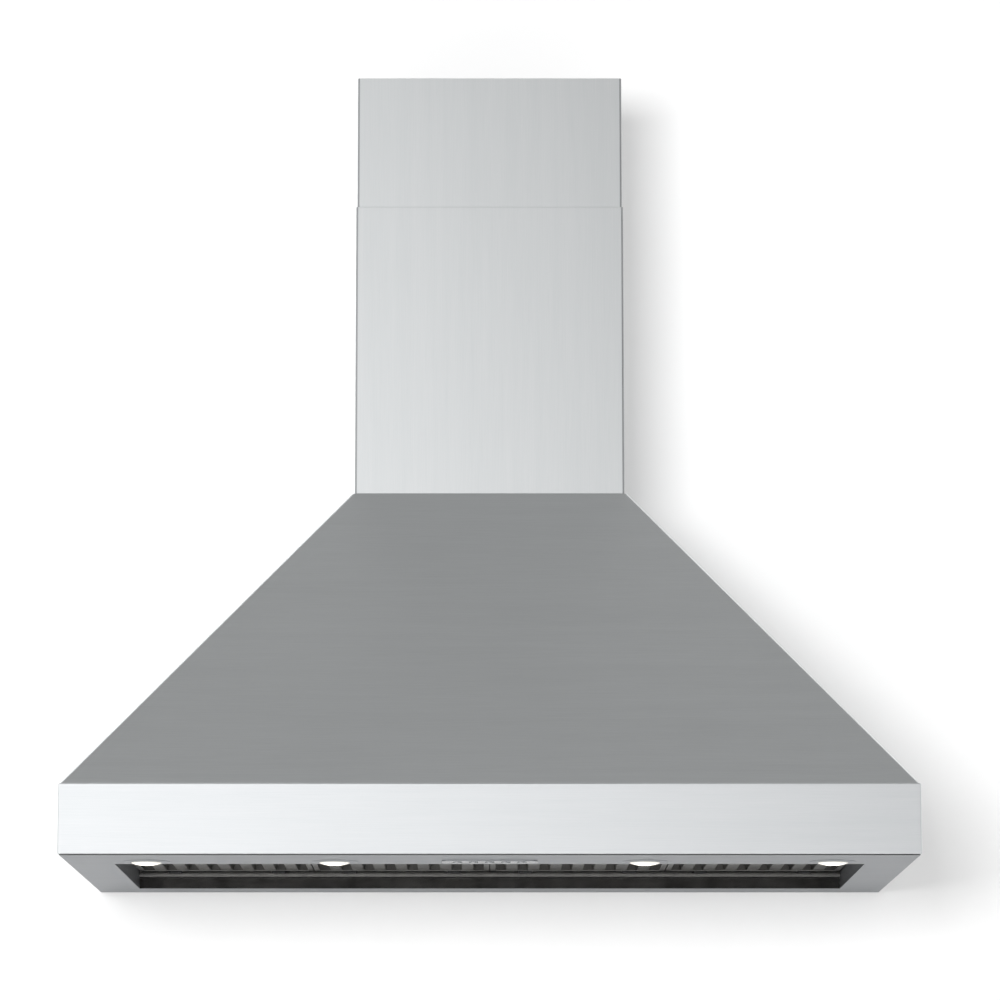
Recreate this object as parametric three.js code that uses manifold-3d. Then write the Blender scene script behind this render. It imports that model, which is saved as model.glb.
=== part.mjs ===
// Wall-mounted chimney range hood: a pyramid canopy over a straight skirt, a telescoping chimney,
// an underside frame with four baffle filters, four lamps and a push-button panel, and a centrifugal
// blower that lifts the air through a round collar with a back-draught damper.
//
// Millimetres, +Z up. A person facing the hood sees +X on the right; the wall is the plane y = 0 and
// the hood stands out of it towards -y. Everything is drawn with z = 0 at the underside, and the
// whole group is then lowered so that the origin lies on the wall, on the line that the hood hangs by.

import * as THREE from "three";
import { mergeVertices } from "three/addons/utils/BufferGeometryUtils.js";
import Module from "manifold-3d";

const wasm = await Module();
wasm.setup();

// ---------------------------------------------------------------- driving dimensions

const WIDTH = 1219.2; // 48 in across the skirt
const DEPTH = 685.8; // 27 in from the wall to the skirt's face
const HEIGHT = 1219.2; // 48 in to the top of the chimney as it is extended here
const HANG_HEIGHT = 480; // the hanging line, above the underside

const SHEET = 1.2; // 18 gauge stainless steel
const GAP = 0.3; // between pieces that touch
const BEND = 3; // outside radius of a fold

const SKIRT_BOTTOM = SHEET + GAP; // rests on the underside frame
const SKIRT_TOP = 101.6; // 4 in
const SKIRT_FLANGE = 14; // folded inwards, top and bottom

const PANEL_FACE = -SHEET - GAP; // what is fixed to the rear panel starts here

const CANOPY_INSET = 2.5; // the pyramid starts this far inside the skirt
const CANOPY_TOP = 573.6;
const CANOPY_FLANGE = 14;

const CHIMNEY_WIDTH = 406.4; // 16 in
const CHIMNEY_DEPTH = 342.9; // 13.5 in
const CHIMNEY_RETURN = 18; // folded back along the wall
const LOWER_COVER_TOP = 1016.9;
const UPPER_COVER_LENGTH = 460;
const TELESCOPE_CLEARANCE = 0.5;

const OPENING = { x: 541, front: -533.4, back: -76.2 }; // the underside's air opening, half width first
const FRAME_INSET = 2.4; // the underside frame is this much smaller than the skirt
const RECESS = 17.3; // height of the opening's turned-up edge

const FILTERS = 4;
const FILTER = { pitch: 270, width: 268.4, front: -532, back: -80, bottom: 25.8, top: 50.8 };
const SLOTS = 8; // air slots in a filter, pitched evenly across the joints between filters
const SLOT_PITCH = FILTER.pitch / SLOTS;
const WEB = 9; // half the width of the flat steel between two slots

const LAMP_X = [-492, -222.5, 222.5, 492];
const LAMP_Y = -DEPTH + 112;
const LAMP_HOLE = 28; // radius
const LAMP_SEGMENTS = 12; // round a lamp

const PANEL = { x: 68.5, front: -DEPTH + 82, back: -DEPTH + 118, drop: 2 };
const BUTTONS = 5;
const BUTTON_PITCH = 23;
const BUTTON_R = 6.5;

const TRAY = { x0: -410, x1: -230, z0: 216, z1: 296, depth: 42 }; // electronics tray
const BOX = { x: 228, z: 396, halfX: 38, halfZ: 32, depth: 42 }; // mains junction box
const CROWN_PLATE = { top: CANOPY_TOP - SHEET - GAP, sheet: 2 };
const DUCT = { y: -171, r: 125, bottom: CANOPY_TOP - SHEET, top: 645, flaps: 605 };
const WHEEL = { y: -291, z: 380, r: 110, eye: 94, half: 90, blades: 28 };
const SCROLL = {
  tongue: 65, // degrees up from the wall side, where the spiral starts
  near: 119, // radius at the tongue
  far: 190, // radius at the throat's wall
  half: 98,
  top: CROWN_PLATE.top - CROWN_PLATE.sheet - GAP,
  sheet: 1.2,
};

// ---------------------------------------------------------------- finishes

const finish = (color, metalness, roughness, more = {}) =>
  new THREE.MeshStandardMaterial({ color, metalness, roughness, ...more });

const brushed = finish(0xc9cbcc, 1.0, 0.36);
const darkBrushed = finish(0x8e9192, 1.0, 0.42);
const galvanised = finish(0x9aa0a3, 0.9, 0.5);
const polished = finish(0xdfe1e2, 1.0, 0.12);
const blackPlastic = finish(0x1d1e20, 0.0, 0.5);
const blackSteel = finish(0x2a2c2e, 0.4, 0.45);
const lampLens = finish(0xfdfcf4, 0.0, 0.25, { emissive: 0xfff6dc });
const magnetCoat = finish(0x3a3c3f, 0.6, 0.4);

// ---------------------------------------------------------------- solids

/** A closed manifold-3d solid made from a three.js geometry, with its faces pointing out. */
function solid(geometry) {
  const bare = geometry.clone();
  bare.deleteAttribute("normal");
  bare.deleteAttribute("uv");
  const merged = mergeVertices(bare, 1e-4);
  const vertProperties = merged.attributes.position.array;
  const triVerts = new Uint32Array(merged.index.array);
  const made = new wasm.Manifold(new wasm.Mesh({ numProp: 3, vertProperties, triVerts }));
  if (made.volume() > 0) return made;
  return new wasm.Manifold(
    new wasm.Mesh({ numProp: 3, vertProperties, triVerts: triVerts.reverse() }),
  );
}

/** A three.js geometry with flat faces, made from a manifold-3d solid. */
function geometryOf(body) {
  const mesh = body.asOriginal().simplify(0.001).getMesh();
  const indexed = new THREE.BufferGeometry()
    .setAttribute("position", new THREE.BufferAttribute(mesh.vertProperties, 3))
    .setIndex(new THREE.BufferAttribute(mesh.triVerts, 1));
  const flat = indexed.toNonIndexed();
  flat.computeVertexNormals();
  return flat;
}

const join = (...bodies) => bodies.reduce((all, body) => all.add(body));
const cut = (body, ...tools) => tools.reduce((left, tool) => left.subtract(tool), body);

/** An axis-aligned block between two values on each axis. */
function block(x0, x1, y0, y1, z0, z1) {
  const box = new THREE.BoxGeometry(x1 - x0, y1 - y0, z1 - z0);
  return solid(box.translate((x0 + x1) / 2, (y0 + y1) / 2, (z0 + z1) / 2));
}

const shapeOf = (points) => new THREE.Shape(points.map(([a, b]) => new THREE.Vector2(a, b)));
const asShape = (outline) => (outline instanceof THREE.Shape ? outline : shapeOf(outline));

/** An outline in (x, y) pushed up from z0 to z1. */
function prismZ(outline, z0, z1, curveSegments = 6) {
  const options = { depth: z1 - z0, bevelEnabled: false, curveSegments };
  return solid(new THREE.ExtrudeGeometry(asShape(outline), options).translate(0, 0, z0));
}

/** An outline in (y, z) pushed along x from x0 to x1. */
function prismX(outline, x0, x1, curveSegments = 6) {
  const options = { depth: x1 - x0, bevelEnabled: false, curveSegments };
  const turn = new THREE.Matrix4().makeBasis(
    new THREE.Vector3(0, 1, 0),
    new THREE.Vector3(0, 0, 1),
    new THREE.Vector3(1, 0, 0),
  );
  const pushed = new THREE.ExtrudeGeometry(asShape(outline), options).applyMatrix4(turn);
  return solid(pushed.translate(x0, 0, 0));
}

/** An outline in (x, z) pushed along y from y0 to y1. */
function prismY(outline, y0, y1, curveSegments = 6) {
  const options = { depth: y1 - y0, bevelEnabled: false, curveSegments };
  const turn = new THREE.Matrix4().makeBasis(
    new THREE.Vector3(1, 0, 0),
    new THREE.Vector3(0, 0, 1),
    new THREE.Vector3(0, -1, 0),
  );
  const pushed = new THREE.ExtrudeGeometry(asShape(outline), options).applyMatrix4(turn);
  return solid(pushed.translate(0, y1, 0));
}

/** A profile of (radius, height) pairs turned round the z axis. A ring's profile closes on itself. */
function turned(profile, segments = 24) {
  const points = profile.map(([r, z]) => new THREE.Vector2(r, z));
  return solid(new THREE.LatheGeometry(points, segments).rotateX(Math.PI / 2));
}

/** A ring with a rectangular section, round the z axis. */
function ring(inner, outer, z0, z1, segments = 24) {
  const corners = [[inner, z0], [outer, z0], [outer, z1], [inner, z1], [inner, z0]];
  return turned(corners, segments);
}

/** A disc or rod along the z axis. */
function rod(r, z0, z1, segments = 16) {
  return turned([[0, z0], [r, z0], [r, z1], [0, z1]], segments);
}

/** A solid turned from the z axis to lie along x. */
const alongX = (body) => body.rotate([0, 90, 0]);

/** A rectangle with rounded corners in the plane of its first two coordinates. */
function roundedRectangle(x0, x1, y0, y1, r) {
  const shape = new THREE.Shape();
  shape.moveTo(x0 + r, y0);
  shape.lineTo(x1 - r, y0);
  shape.absarc(x1 - r, y0 + r, r, -Math.PI / 2, 0, false);
  shape.lineTo(x1, y1 - r);
  shape.absarc(x1 - r, y1 - r, r, 0, Math.PI / 2, false);
  shape.lineTo(x0 + r, y1);
  shape.absarc(x0 + r, y1 - r, r, Math.PI / 2, Math.PI, false);
  shape.lineTo(x0, y0 + r);
  shape.absarc(x0 + r, y0 + r, r, Math.PI, Math.PI * 1.5, false);
  return shape;
}

/** A slab whose upright corners and whose top and bottom edges are all rounded. */
function roundedSlab(halfX, front, back, z0, z1, r) {
  const outline = roundedRectangle(-halfX, halfX, front, back, r + 1);
  const options = {
    depth: z1 - z0 - 2 * r,
    bevelThickness: r,
    bevelSize: r,
    bevelOffset: -r,
    bevelSegments: 2,
    curveSegments: 2,
  };
  return solid(new THREE.ExtrudeGeometry(outline, options).translate(0, 0, z0 + r));
}

// ---------------------------------------------------------------- the canopy's pyramid

const BASE = {
  x: WIDTH / 2 - CANOPY_INSET,
  front: -(DEPTH - CANOPY_INSET),
  z: SKIRT_TOP + GAP,
};
const CROWN = { x: CHIMNEY_WIDTH / 2 + 3.4, front: -(CHIMNEY_DEPTH + 3), z: CANOPY_TOP };
const RISE = CROWN.z - BASE.z;
const LEAN = { x: (BASE.x - CROWN.x) / RISE, y: (CROWN.front - BASE.front) / RISE };

/** The pyramid between two heights, moved in by a distance square to its sloping faces. */
function pyramid(inset, z0 = BASE.z, z1 = CROWN.z, back = 0) {
  const at = (z) => ({
    x: BASE.x - LEAN.x * (z - BASE.z) - inset * Math.hypot(1, LEAN.x),
    front: BASE.front + LEAN.y * (z - BASE.z) + inset * Math.hypot(1, LEAN.y),
  });
  const corners = [z0, z1].flatMap((z) => {
    const { x, front } = at(z);
    return [[-x, front, z], [x, front, z], [x, back, z], [-x, back, z]];
  });
  const faces = [
    [0, 2, 1], [0, 3, 2], [4, 5, 6], [4, 6, 7],
    [0, 1, 5], [0, 5, 4], [1, 2, 6], [1, 6, 5],
    [2, 3, 7], [2, 7, 6], [3, 0, 4], [3, 4, 7],
  ];
  const geometry = new THREE.BufferGeometry()
    .setAttribute("position", new THREE.Float32BufferAttribute(corners.flat(), 3))
    .setIndex(faces.flat());
  return solid(geometry);
}

/** Sheet-metal pyramid, open at the bottom, top and wall side, with folded flanges round each edge. */
function canopyShell() {
  const reach = 20;
  const walls = pyramid(0).subtract(pyramid(SHEET, BASE.z - reach, CROWN.z + reach, reach));
  const rim = pyramid(0).subtract(
    pyramid(CANOPY_FLANGE, BASE.z - reach, CROWN.z + reach, reach),
  );
  const wide = WIDTH;
  const bottomFlange = rim.intersect(block(-wide, wide, -wide, 0, BASE.z, BASE.z + SHEET));
  const topFlange = rim.intersect(block(-wide, wide, -wide, 0, CROWN.z - SHEET, CROWN.z));
  const wallFlange = rim.intersect(
    block(-wide, wide, PANEL_FACE - SHEET, PANEL_FACE, BASE.z, CROWN.z),
  );
  const panelZone = pyramid(SHEET, BASE.z - reach, CROWN.z + reach, reach).intersect(
    block(-wide, wide, PANEL_FACE, reach, 0, HEIGHT),
  );
  return cut(join(walls, bottomFlange, topFlange, wallFlange), panelZone);
}

/** Straight band round the front and sides, folded over at the top and bottom. */
function skirtBand() {
  const half = WIDTH / 2;
  const past = 40;
  const outside = roundedSlab(half, -DEPTH, past, SKIRT_BOTTOM, SKIRT_TOP, BEND);
  const inside = roundedSlab(
    half - SHEET, -DEPTH + SHEET, past + 1, SKIRT_BOTTOM + SHEET, SKIRT_TOP - SHEET, BEND - SHEET,
  );
  const windowX = half - SKIRT_FLANGE;
  const window = block(-windowX, windowX, -DEPTH + SKIRT_FLANGE, past + 2, 0, HEIGHT);
  const behindWall = block(-WIDTH, WIDTH, 0, past + 3, 0, HEIGHT);
  const panelX = half - SHEET;
  const panelZone = block(-panelX, panelX, PANEL_FACE, past, 0, HEIGHT);
  return cut(outside, inside, window, behindWall, panelZone);
}

/** Flat sheet against the wall, with two hanging windows, lower screw holes and a cable hole. */
function rearPanel() {
  const half = WIDTH / 2 - SHEET - 2 * GAP;
  const lower = block(-half, half, -SHEET, 0, SHEET + 0.7, BASE.z - GAP);
  const upper = pyramid(SHEET + 0.4, BASE.z - 5, CROWN.z - SHEET - GAP).intersect(
    block(-half, half, -SHEET, 0, 0, HEIGHT),
  );
  const hangingWindow = (x) => block(x - 22, x + 22, -5, 5, HANG_HEIGHT - 12, HANG_HEIGHT + 12);
  const screwHole = (x) => rod(4, -5, 5, 12).rotate([90, 0, 0]).translate([x, 0, 60]);
  const cableHole = rod(15, -5, 5, 16).rotate([90, 0, 0]).translate([BOX.x, 0, BOX.z]);
  return cut(
    join(lower, upper),
    hangingWindow(-170), hangingWindow(170), screwHole(-450), screwHole(450), cableHole,
  );
}

/** Angle that stiffens the panel over a hanging window and takes the levelling bolt. */
function hangBracket(x) {
  const steel = 2.5;
  const shelf = HANG_HEIGHT + 14;
  const reach = PANEL_FACE - 30;
  const inside = PANEL_FACE - steel;
  const profile = [
    [PANEL_FACE, shelf], [PANEL_FACE, shelf + 46], [inside, shelf + 46], [inside, shelf + steel],
    [reach, shelf + steel], [reach, shelf],
  ];
  const angle = prismX(profile, x - 26, x + 26);
  const bolt = join(rod(4, shelf - 10, shelf + 20, 10), rod(7.5, shelf + 1, shelf + 9, 6));
  return join(angle, bolt.translate([x, -19, 0]));
}

// ---------------------------------------------------------------- the underside

/** Frame plate with the air opening, its turned-up edges, and holes for the lamps and buttons. */
function bottomFrame() {
  const x = WIDTH / 2 - FRAME_INSET;
  const outline = shapeOf([[-x, -DEPTH + FRAME_INSET], [x, -DEPTH + FRAME_INSET], [x, -2], [-x, -2]]);
  const opening = new THREE.Path();
  opening.moveTo(-OPENING.x, OPENING.front);
  opening.lineTo(-OPENING.x, OPENING.back);
  opening.lineTo(OPENING.x, OPENING.back);
  opening.lineTo(OPENING.x, OPENING.front);
  opening.closePath();
  const lampHoles = LAMP_X.map((at) => new THREE.Path().absarc(at, LAMP_Y, LAMP_HOLE, 0, Math.PI * 2, true));
  outline.holes.push(opening, ...lampHoles);
  const plate = cut(
    prismZ(outline, 0, SHEET, 10),
    block(-NECK.x - 1, NECK.x + 1, NECK.front - 1, NECK.back + 1, -5, 5),
  );
  const side = (x0, x1) => block(x0, x1, OPENING.front - SHEET, OPENING.back + SHEET, 0, 56);
  const edge = (y0, y1) => block(-OPENING.x - 1, OPENING.x + 1, y0, y1, 0, RECESS);
  const openingEdges = [
    side(-OPENING.x - SHEET, -OPENING.x),
    side(OPENING.x, OPENING.x + SHEET),
    edge(OPENING.front - SHEET, OPENING.front),
    edge(OPENING.back, OPENING.back + SHEET),
  ];
  const collarX = WIDTH / 2 - SKIRT_FLANGE - 0.7;
  const collarFront = -DEPTH + SKIRT_FLANGE + 0.7;
  const collar = cut(
    block(-collarX, collarX, collarFront, -18.5, 0.5, 26),
    block(-collarX + SHEET, collarX - SHEET, collarFront + SHEET, -20, -5, 30),
  );
  return join(plate, collar, ...openingEdges);
}

const RAIL_HALF = OPENING.x - 0.5;

/** Rear rail: its lip carries the filters, and its trough, closed at both ends, catches their grease. */
function gutterRail() {
  const base = RECESS + GAP;
  const lip = { y: OPENING.back - 15.5, z: 22.2 };
  const wall = { y: -60, z: 60 };
  const trough = prismX(
    [
      [lip.y, base], [wall.y, base], [wall.y, wall.z], [wall.y - SHEET, wall.z],
      [wall.y - SHEET, base + SHEET], [lip.y + SHEET, base + SHEET], [lip.y + SHEET, lip.z],
      [lip.y, lip.z],
    ],
    -RAIL_HALF,
    RAIL_HALF,
  );
  const behindFilters = FILTER.back + 2 * GAP;
  const endPlate = [
    [lip.y, base], [wall.y, base], [wall.y, wall.z], [wall.y - 8, wall.z],
    [behindFilters, FILTER.bottom + 16], [behindFilters, lip.z], [lip.y, lip.z],
  ];
  const end = (x0) => prismX(endPlate, x0, x0 + SHEET);
  return join(trough, end(-RAIL_HALF), end(RAIL_HALF - SHEET));
}

/** Front rail: an upright strip with a shelf above the filters for the magnets. */
function frontRail() {
  const base = RECESS + GAP;
  const face = OPENING.front - 0.5;
  return prismX(
    [
      [face - SHEET, base], [face, base], [face, 55.5], [face + 26, 55.5],
      [face + 26, 57], [face - SHEET, 57],
    ],
    -RAIL_HALF,
    RAIL_HALF,
  );
}

/** Coated block magnet that holds a filter's front edge up. */
function magnetCatch(x) {
  return block(x - 14, x + 14, -528, -514, FILTER.top + GAP, 55.2);
}

/** Channel section of a baffle: a flat web with two walls that open outwards. */
function channel(web, mouth, z0, z1, sheet = 0.8) {
  const inward = sheet * 1.1;
  return [
    [-web, z0], [web, z0], [mouth, z1], [mouth - inward, z1],
    [web - inward + 0.2, z0 + (z1 > z0 ? sheet : -sheet)],
    [-web + inward - 0.2, z0 + (z1 > z0 ? sheet : -sheet)],
    [-mouth + inward, z1], [-mouth, z1],
  ];
}

/** Baffle filter: a folded frame with two rows of interleaved channels that turn the air twice. */
function baffleFilter(x) {
  const half = FILTER.width / 2;
  const { front, back, bottom, top } = FILTER;
  const land = WEB - (FILTER.pitch - FILTER.width) / 2;
  const frame = cut(
    block(-half, half, front, back, bottom, top),
    block(-half + 1, half - 1, front + 1, back - 1, bottom + 1, top - 1),
    block(-half + land, half - land, front + 24, back - 24, bottom - 5, top + 5),
  );
  const row = (section, count) =>
    Array.from({ length: count }, (_, k) => {
      const at = (k - (count - 1) / 2) * SLOT_PITCH;
      return prismY(section, front + 1.4, back - 1.4).translate([at, 0, 0]);
    });
  const lower = row(channel(WEB, 12, bottom + 0.8, bottom + 16), SLOTS - 1);
  const upper = row(channel(10, 13, top - 0.8, top - 17), SLOTS);
  const foot = (at) => block(at - 10, at + 10, back - 16, back - 2, 22.5, bottom + 0.5);
  return join(frame, ...lower, ...upper, foot(-80), foot(80)).translate([x, 0, 0]);
}

/** Bent-wire handle on two riveted feet. */
function filterHandle(x) {
  const { bottom } = FILTER;
  const y = FILTER.front + 12;
  const path = new THREE.CurvePath();
  const corner = 8;
  const left = -34;
  const low = bottom - 17;
  const up = (a, b) => path.add(new THREE.LineCurve3(a, b));
  const bend = (a, b, c) => path.add(new THREE.QuadraticBezierCurve3(a, b, c));
  const point = (px, pz) => new THREE.Vector3(px, y, pz);
  up(point(left, bottom - 1), point(left, low + corner));
  bend(point(left, low + corner), point(left, low), point(left + corner, low));
  up(point(left + corner, low), point(-left - corner, low));
  bend(point(-left - corner, low), point(-left, low), point(-left, low + corner));
  up(point(-left, low + corner), point(-left, bottom - 1));
  const section = new THREE.Shape().absarc(0, 0, 2.5, 0, Math.PI * 2, false);
  const wire = solid(
    new THREE.ExtrudeGeometry(section, { steps: 16, curveSegments: 3, extrudePath: path }),
  );
  const foot = (px) => rod(6, bottom - 2, bottom - GAP, 8).translate([px, y, 0]);
  return join(wire, foot(left), foot(-left)).translate([x, 0, 0]);
}

// ---------------------------------------------------------------- lamps and buttons

/** Trim ring that clips into the frame plate from below. */
function lampBezel(x) {
  const profile = [
    [22, -GAP], [22, -1.8], [31.5, -1.8], [33.5, -GAP],
    [LAMP_HOLE - 0.6, -GAP], [LAMP_HOLE - 0.6, 10], [25.8, 10], [25.8, -GAP], [22, -GAP],
  ];
  return turned(profile, LAMP_SEGMENTS).translate([x, LAMP_Y, 0]);
}

/** Domed diffuser of a lamp, standing a little below the trim ring. */
function lampLensBody(x) {
  const profile = [
    [0, -5.2], [11, -4.5], [21.6, -1.4], [21.6, GAP], [25.3, GAP], [25.3, 2.4], [0, 2.4],
  ];
  return turned(profile, LAMP_SEGMENTS).translate([x, LAMP_Y, 0]);
}

/** Stepped can behind the diffuser that carries the LED board. */
function lampCan(x) {
  const profile = [
    [0, 10.3], [25, 10.3], [25, 21], [18, 21], [18, 33], [0, 33],
  ];
  return turned(profile, LAMP_SEGMENTS).translate([x, LAMP_Y, 0]);
}

const BUTTON_X = Array.from({ length: BUTTONS }, (_, k) => (k - (BUTTONS - 1) / 2) * BUTTON_PITCH);
const PANEL_Y = (PANEL.front + PANEL.back) / 2;
const NECK = { x: 59, front: PANEL.front + 6, back: PANEL.back - 6 }; // passes up through the plate

/** Raised bezel of the push-button panel. */
function controlBezel() {
  const outline = roundedRectangle(-PANEL.x, PANEL.x, PANEL.front, PANEL.back, 8);
  const face = prismZ(outline, -PANEL.drop, -GAP, 4);
  const { x, front, back } = NECK;
  const neck = block(-x, x, front, back, -1, 6);
  const hollow = block(-x + 1.5, x - 1.5, front + 1.5, back - 1.5, -1, 7);
  const holes = BUTTON_X.map((at) => rod(BUTTON_R + 0.4, -9, 9, 12).translate([at, PANEL_Y, 0]));
  return cut(join(face, neck), hollow, ...holes);
}

/** Push button: a cap that stands out of the bezel, with a collar that stops it falling through. */
function button(x) {
  const { drop } = PANEL;
  const profile = [
    [0, -drop - 1.8], [BUTTON_R - 0.8, -drop - 1.8], [BUTTON_R, -drop - 1], [BUTTON_R, -0.6],
    [BUTTON_R + 2, -0.6], [BUTTON_R + 2, 0.8], [3, 0.8], [3, 4.6], [0, 4.6],
  ];
  return turned(profile, 10).translate([x, PANEL_Y, 0]);
}

/** Box over the buttons that holds the switches. */
function controlHousing() {
  const { x, front, back } = NECK;
  const tray = cut(
    block(-x - 4, x + 4, front - 4, back + 4, 6.3, 24),
    block(-x + 4, x - 4, front + 3, back - 3, 0, 18),
  );
  const ear = (at) => block(at - 8, at + 8, PANEL_Y - 8, PANEL_Y + 8, SHEET + GAP, 8);
  return join(tray, ear(-x - 10), ear(x + 10));
}

// ---------------------------------------------------------------- chimney

/** Outline in plan of a chimney cover: front, sides and returns along the wall, folded from one sheet. */
function coverOutline(halfX, front, back) {
  const shape = new THREE.Shape();
  const inner = BEND - SHEET;
  const lip = halfX - CHIMNEY_RETURN;
  shape.moveTo(lip, back);
  shape.lineTo(lip, back - SHEET);
  shape.lineTo(halfX - SHEET, back - SHEET);
  shape.lineTo(halfX - SHEET, front + BEND);
  shape.absarc(halfX - BEND, front + BEND, inner, 0, -Math.PI / 2, true);
  shape.lineTo(-halfX + BEND, front + SHEET);
  shape.absarc(-halfX + BEND, front + BEND, inner, -Math.PI / 2, -Math.PI, true);
  shape.lineTo(-halfX + SHEET, back - SHEET);
  shape.lineTo(-lip, back - SHEET);
  shape.lineTo(-lip, back);
  shape.lineTo(-halfX, back);
  shape.lineTo(-halfX, front + BEND);
  shape.absarc(-halfX + BEND, front + BEND, BEND, -Math.PI, -Math.PI / 2, false);
  shape.lineTo(halfX - BEND, front);
  shape.absarc(halfX - BEND, front + BEND, BEND, -Math.PI / 2, 0, false);
  shape.lineTo(halfX, back);
  return shape;
}

const UPPER = {
  half: CHIMNEY_WIDTH / 2 - SHEET - TELESCOPE_CLEARANCE,
  front: -CHIMNEY_DEPTH + SHEET + TELESCOPE_CLEARANCE,
  back: -SHEET - TELESCOPE_CLEARANCE,
  bottom: HEIGHT - UPPER_COVER_LENGTH,
};
const SCREW = { y: -55, z: 1199 };

function lowerCover() {
  return prismZ(coverOutline(CHIMNEY_WIDTH / 2, -CHIMNEY_DEPTH, 0), CANOPY_TOP + GAP, LOWER_COVER_TOP, 4);
}

function upperCover() {
  const cover = prismZ(coverOutline(UPPER.half, UPPER.front, UPPER.back), UPPER.bottom, HEIGHT, 4);
  const hole = alongX(rod(2.6, -WIDTH, WIDTH, 10)).translate([0, SCREW.y, SCREW.z]);
  return cut(cover, hole);
}

/** Folded wall bracket inside the top of the chimney; the upper cover is screwed to its ears. */
function chimneyBracket() {
  const ear = UPPER.half - SHEET - 0.4;
  const lip = UPPER.half - CHIMNEY_RETURN - 1;
  const t = 2;
  const outline = [
    [-lip, 0], [lip, 0], [lip, -6], [ear, -6], [ear, -80], [ear - t, -80], [ear - t, -6 - t],
    [lip - t, -6 - t], [lip - t, -t], [-lip + t, -t], [-lip + t, -6 - t], [-ear + t, -6 - t],
    [-ear + t, -80], [-ear, -80], [-ear, -6], [-lip, -6],
  ];
  const hole = alongX(rod(2.6, -WIDTH, WIDTH, 10)).translate([0, SCREW.y, SCREW.z]);
  const wallHole = (x) => rod(3.5, -9, 9, 10).rotate([90, 0, 0]).translate([x, 0, SCREW.z]);
  return cut(prismZ(outline, 1178, 1215), hole, wallHole(-110), wallHole(110));
}

/** Pan-head screw through a side of the upper cover. */
function coverScrew(side) {
  const start = UPPER.half + GAP;
  const profile = [
    [0, start - 9], [2.1, start - 9], [2.1, start], [4.4, start], [3.8, start + 1.6],
    [2.2, start + 2.4], [0, start + 2.4],
  ];
  const screw = turned(profile, 12).rotate([0, side > 0 ? 90 : -90, 0]);
  return screw.translate([0, SCREW.y, SCREW.z]);
}

// ---------------------------------------------------------------- air path

/** Plate that closes the pyramid's crown and carries the blower below and the collar above. */
function topPlate() {
  const { top, sheet } = CROWN_PLATE;
  const plate = block(-200, 200, -338, -4, top - sheet, top);
  const skirt = cut(
    block(-200, 200, -338, -4, top - 20, top),
    block(-200 + sheet, 200 - sheet, -338 + sheet, -4 - sheet, top - 30, top - 1),
  );
  const hole = rod(DUCT.r - 4, 0, HEIGHT, 24).translate([0, DUCT.y, 0]);
  return cut(join(plate, skirt), hole);
}

/** Round outlet: a foot flange, a bead the damper flaps close on, and holes for their pin. */
function ductCollar() {
  const inner = DUCT.r - SHEET;
  const profile = [
    [inner, DUCT.bottom], [DUCT.r + 15, DUCT.bottom], [DUCT.r + 15, DUCT.bottom + SHEET],
    [DUCT.r, DUCT.bottom + SHEET], [DUCT.r, DUCT.top], [inner, DUCT.top],
    [inner, DUCT.flaps - 1], [inner - 4, DUCT.flaps - 1], [inner - 4, DUCT.flaps - 3.5],
    [inner, DUCT.flaps - 5], [inner, DUCT.bottom],
  ];
  const hole = alongX(rod(3.2, -WIDTH, WIDTH, 10)).translate([0, 0, DUCT.flaps]);
  return cut(turned(profile, 24), hole).translate([0, DUCT.y, 0]);
}

function damperPin() {
  return alongX(rod(2.5, -DUCT.r - 3, DUCT.r + 3, 10)).translate([0, DUCT.y, DUCT.flaps]);
}

/** Half-round flap whose knuckles turn on the pin; the two flaps' knuckles take turns along it. */
function damperFlap(side) {
  const disc = rod(DUCT.r - SHEET - 4, -0.5, 0.5, 24);
  const near = 7;
  const half = disc.intersect(
    block(-200, 200, side > 0 ? near : -200, side > 0 ? 200 : -near, -5, 5),
  );
  const knuckles = [-80, 20].map((x) => {
    const at = side > 0 ? x : x + 50;
    const barrel = alongX(ring(2.9, 4.6, at, at + 30, 10));
    const tab = block(at, at + 30, side > 0 ? 4 : -near - 1, side > 0 ? near + 1 : -4, -0.5, 0.5);
    return join(barrel, tab);
  });
  return join(half, ...knuckles).translate([0, DUCT.y, DUCT.flaps]);
}

/** Outline in (y, z) of the blower's air space: a spiral round the wheel that ends in an upright throat. */
function scrollOutline(offset, top) {
  const steps = 24;
  const from = THREE.MathUtils.degToRad(SCROLL.tongue);
  const points = [];
  for (let k = 0; k <= steps; k++) {
    const share = k / steps;
    const angle = from + (2 * Math.PI - from) * share;
    const r = SCROLL.near + (SCROLL.far - SCROLL.near) * share + offset;
    points.push([WHEEL.y + r * Math.cos(angle), WHEEL.z + r * Math.sin(angle)]);
  }
  const throat = WHEEL.y + SCROLL.near * Math.cos(from) - offset;
  points[0] = [throat, points[0][1]];
  points.push([WHEEL.y + SCROLL.far + offset, top], [throat, top]);
  return points;
}

/** Spiral wrapper of the blower. */
function blowerScroll() {
  const outside = prismX(scrollOutline(SCROLL.sheet, SCROLL.top), -SCROLL.half, SCROLL.half);
  const inside = prismX(scrollOutline(0, SCROLL.top + 10), -SCROLL.half - 5, SCROLL.half + 5);
  return outside.subtract(inside);
}

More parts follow.
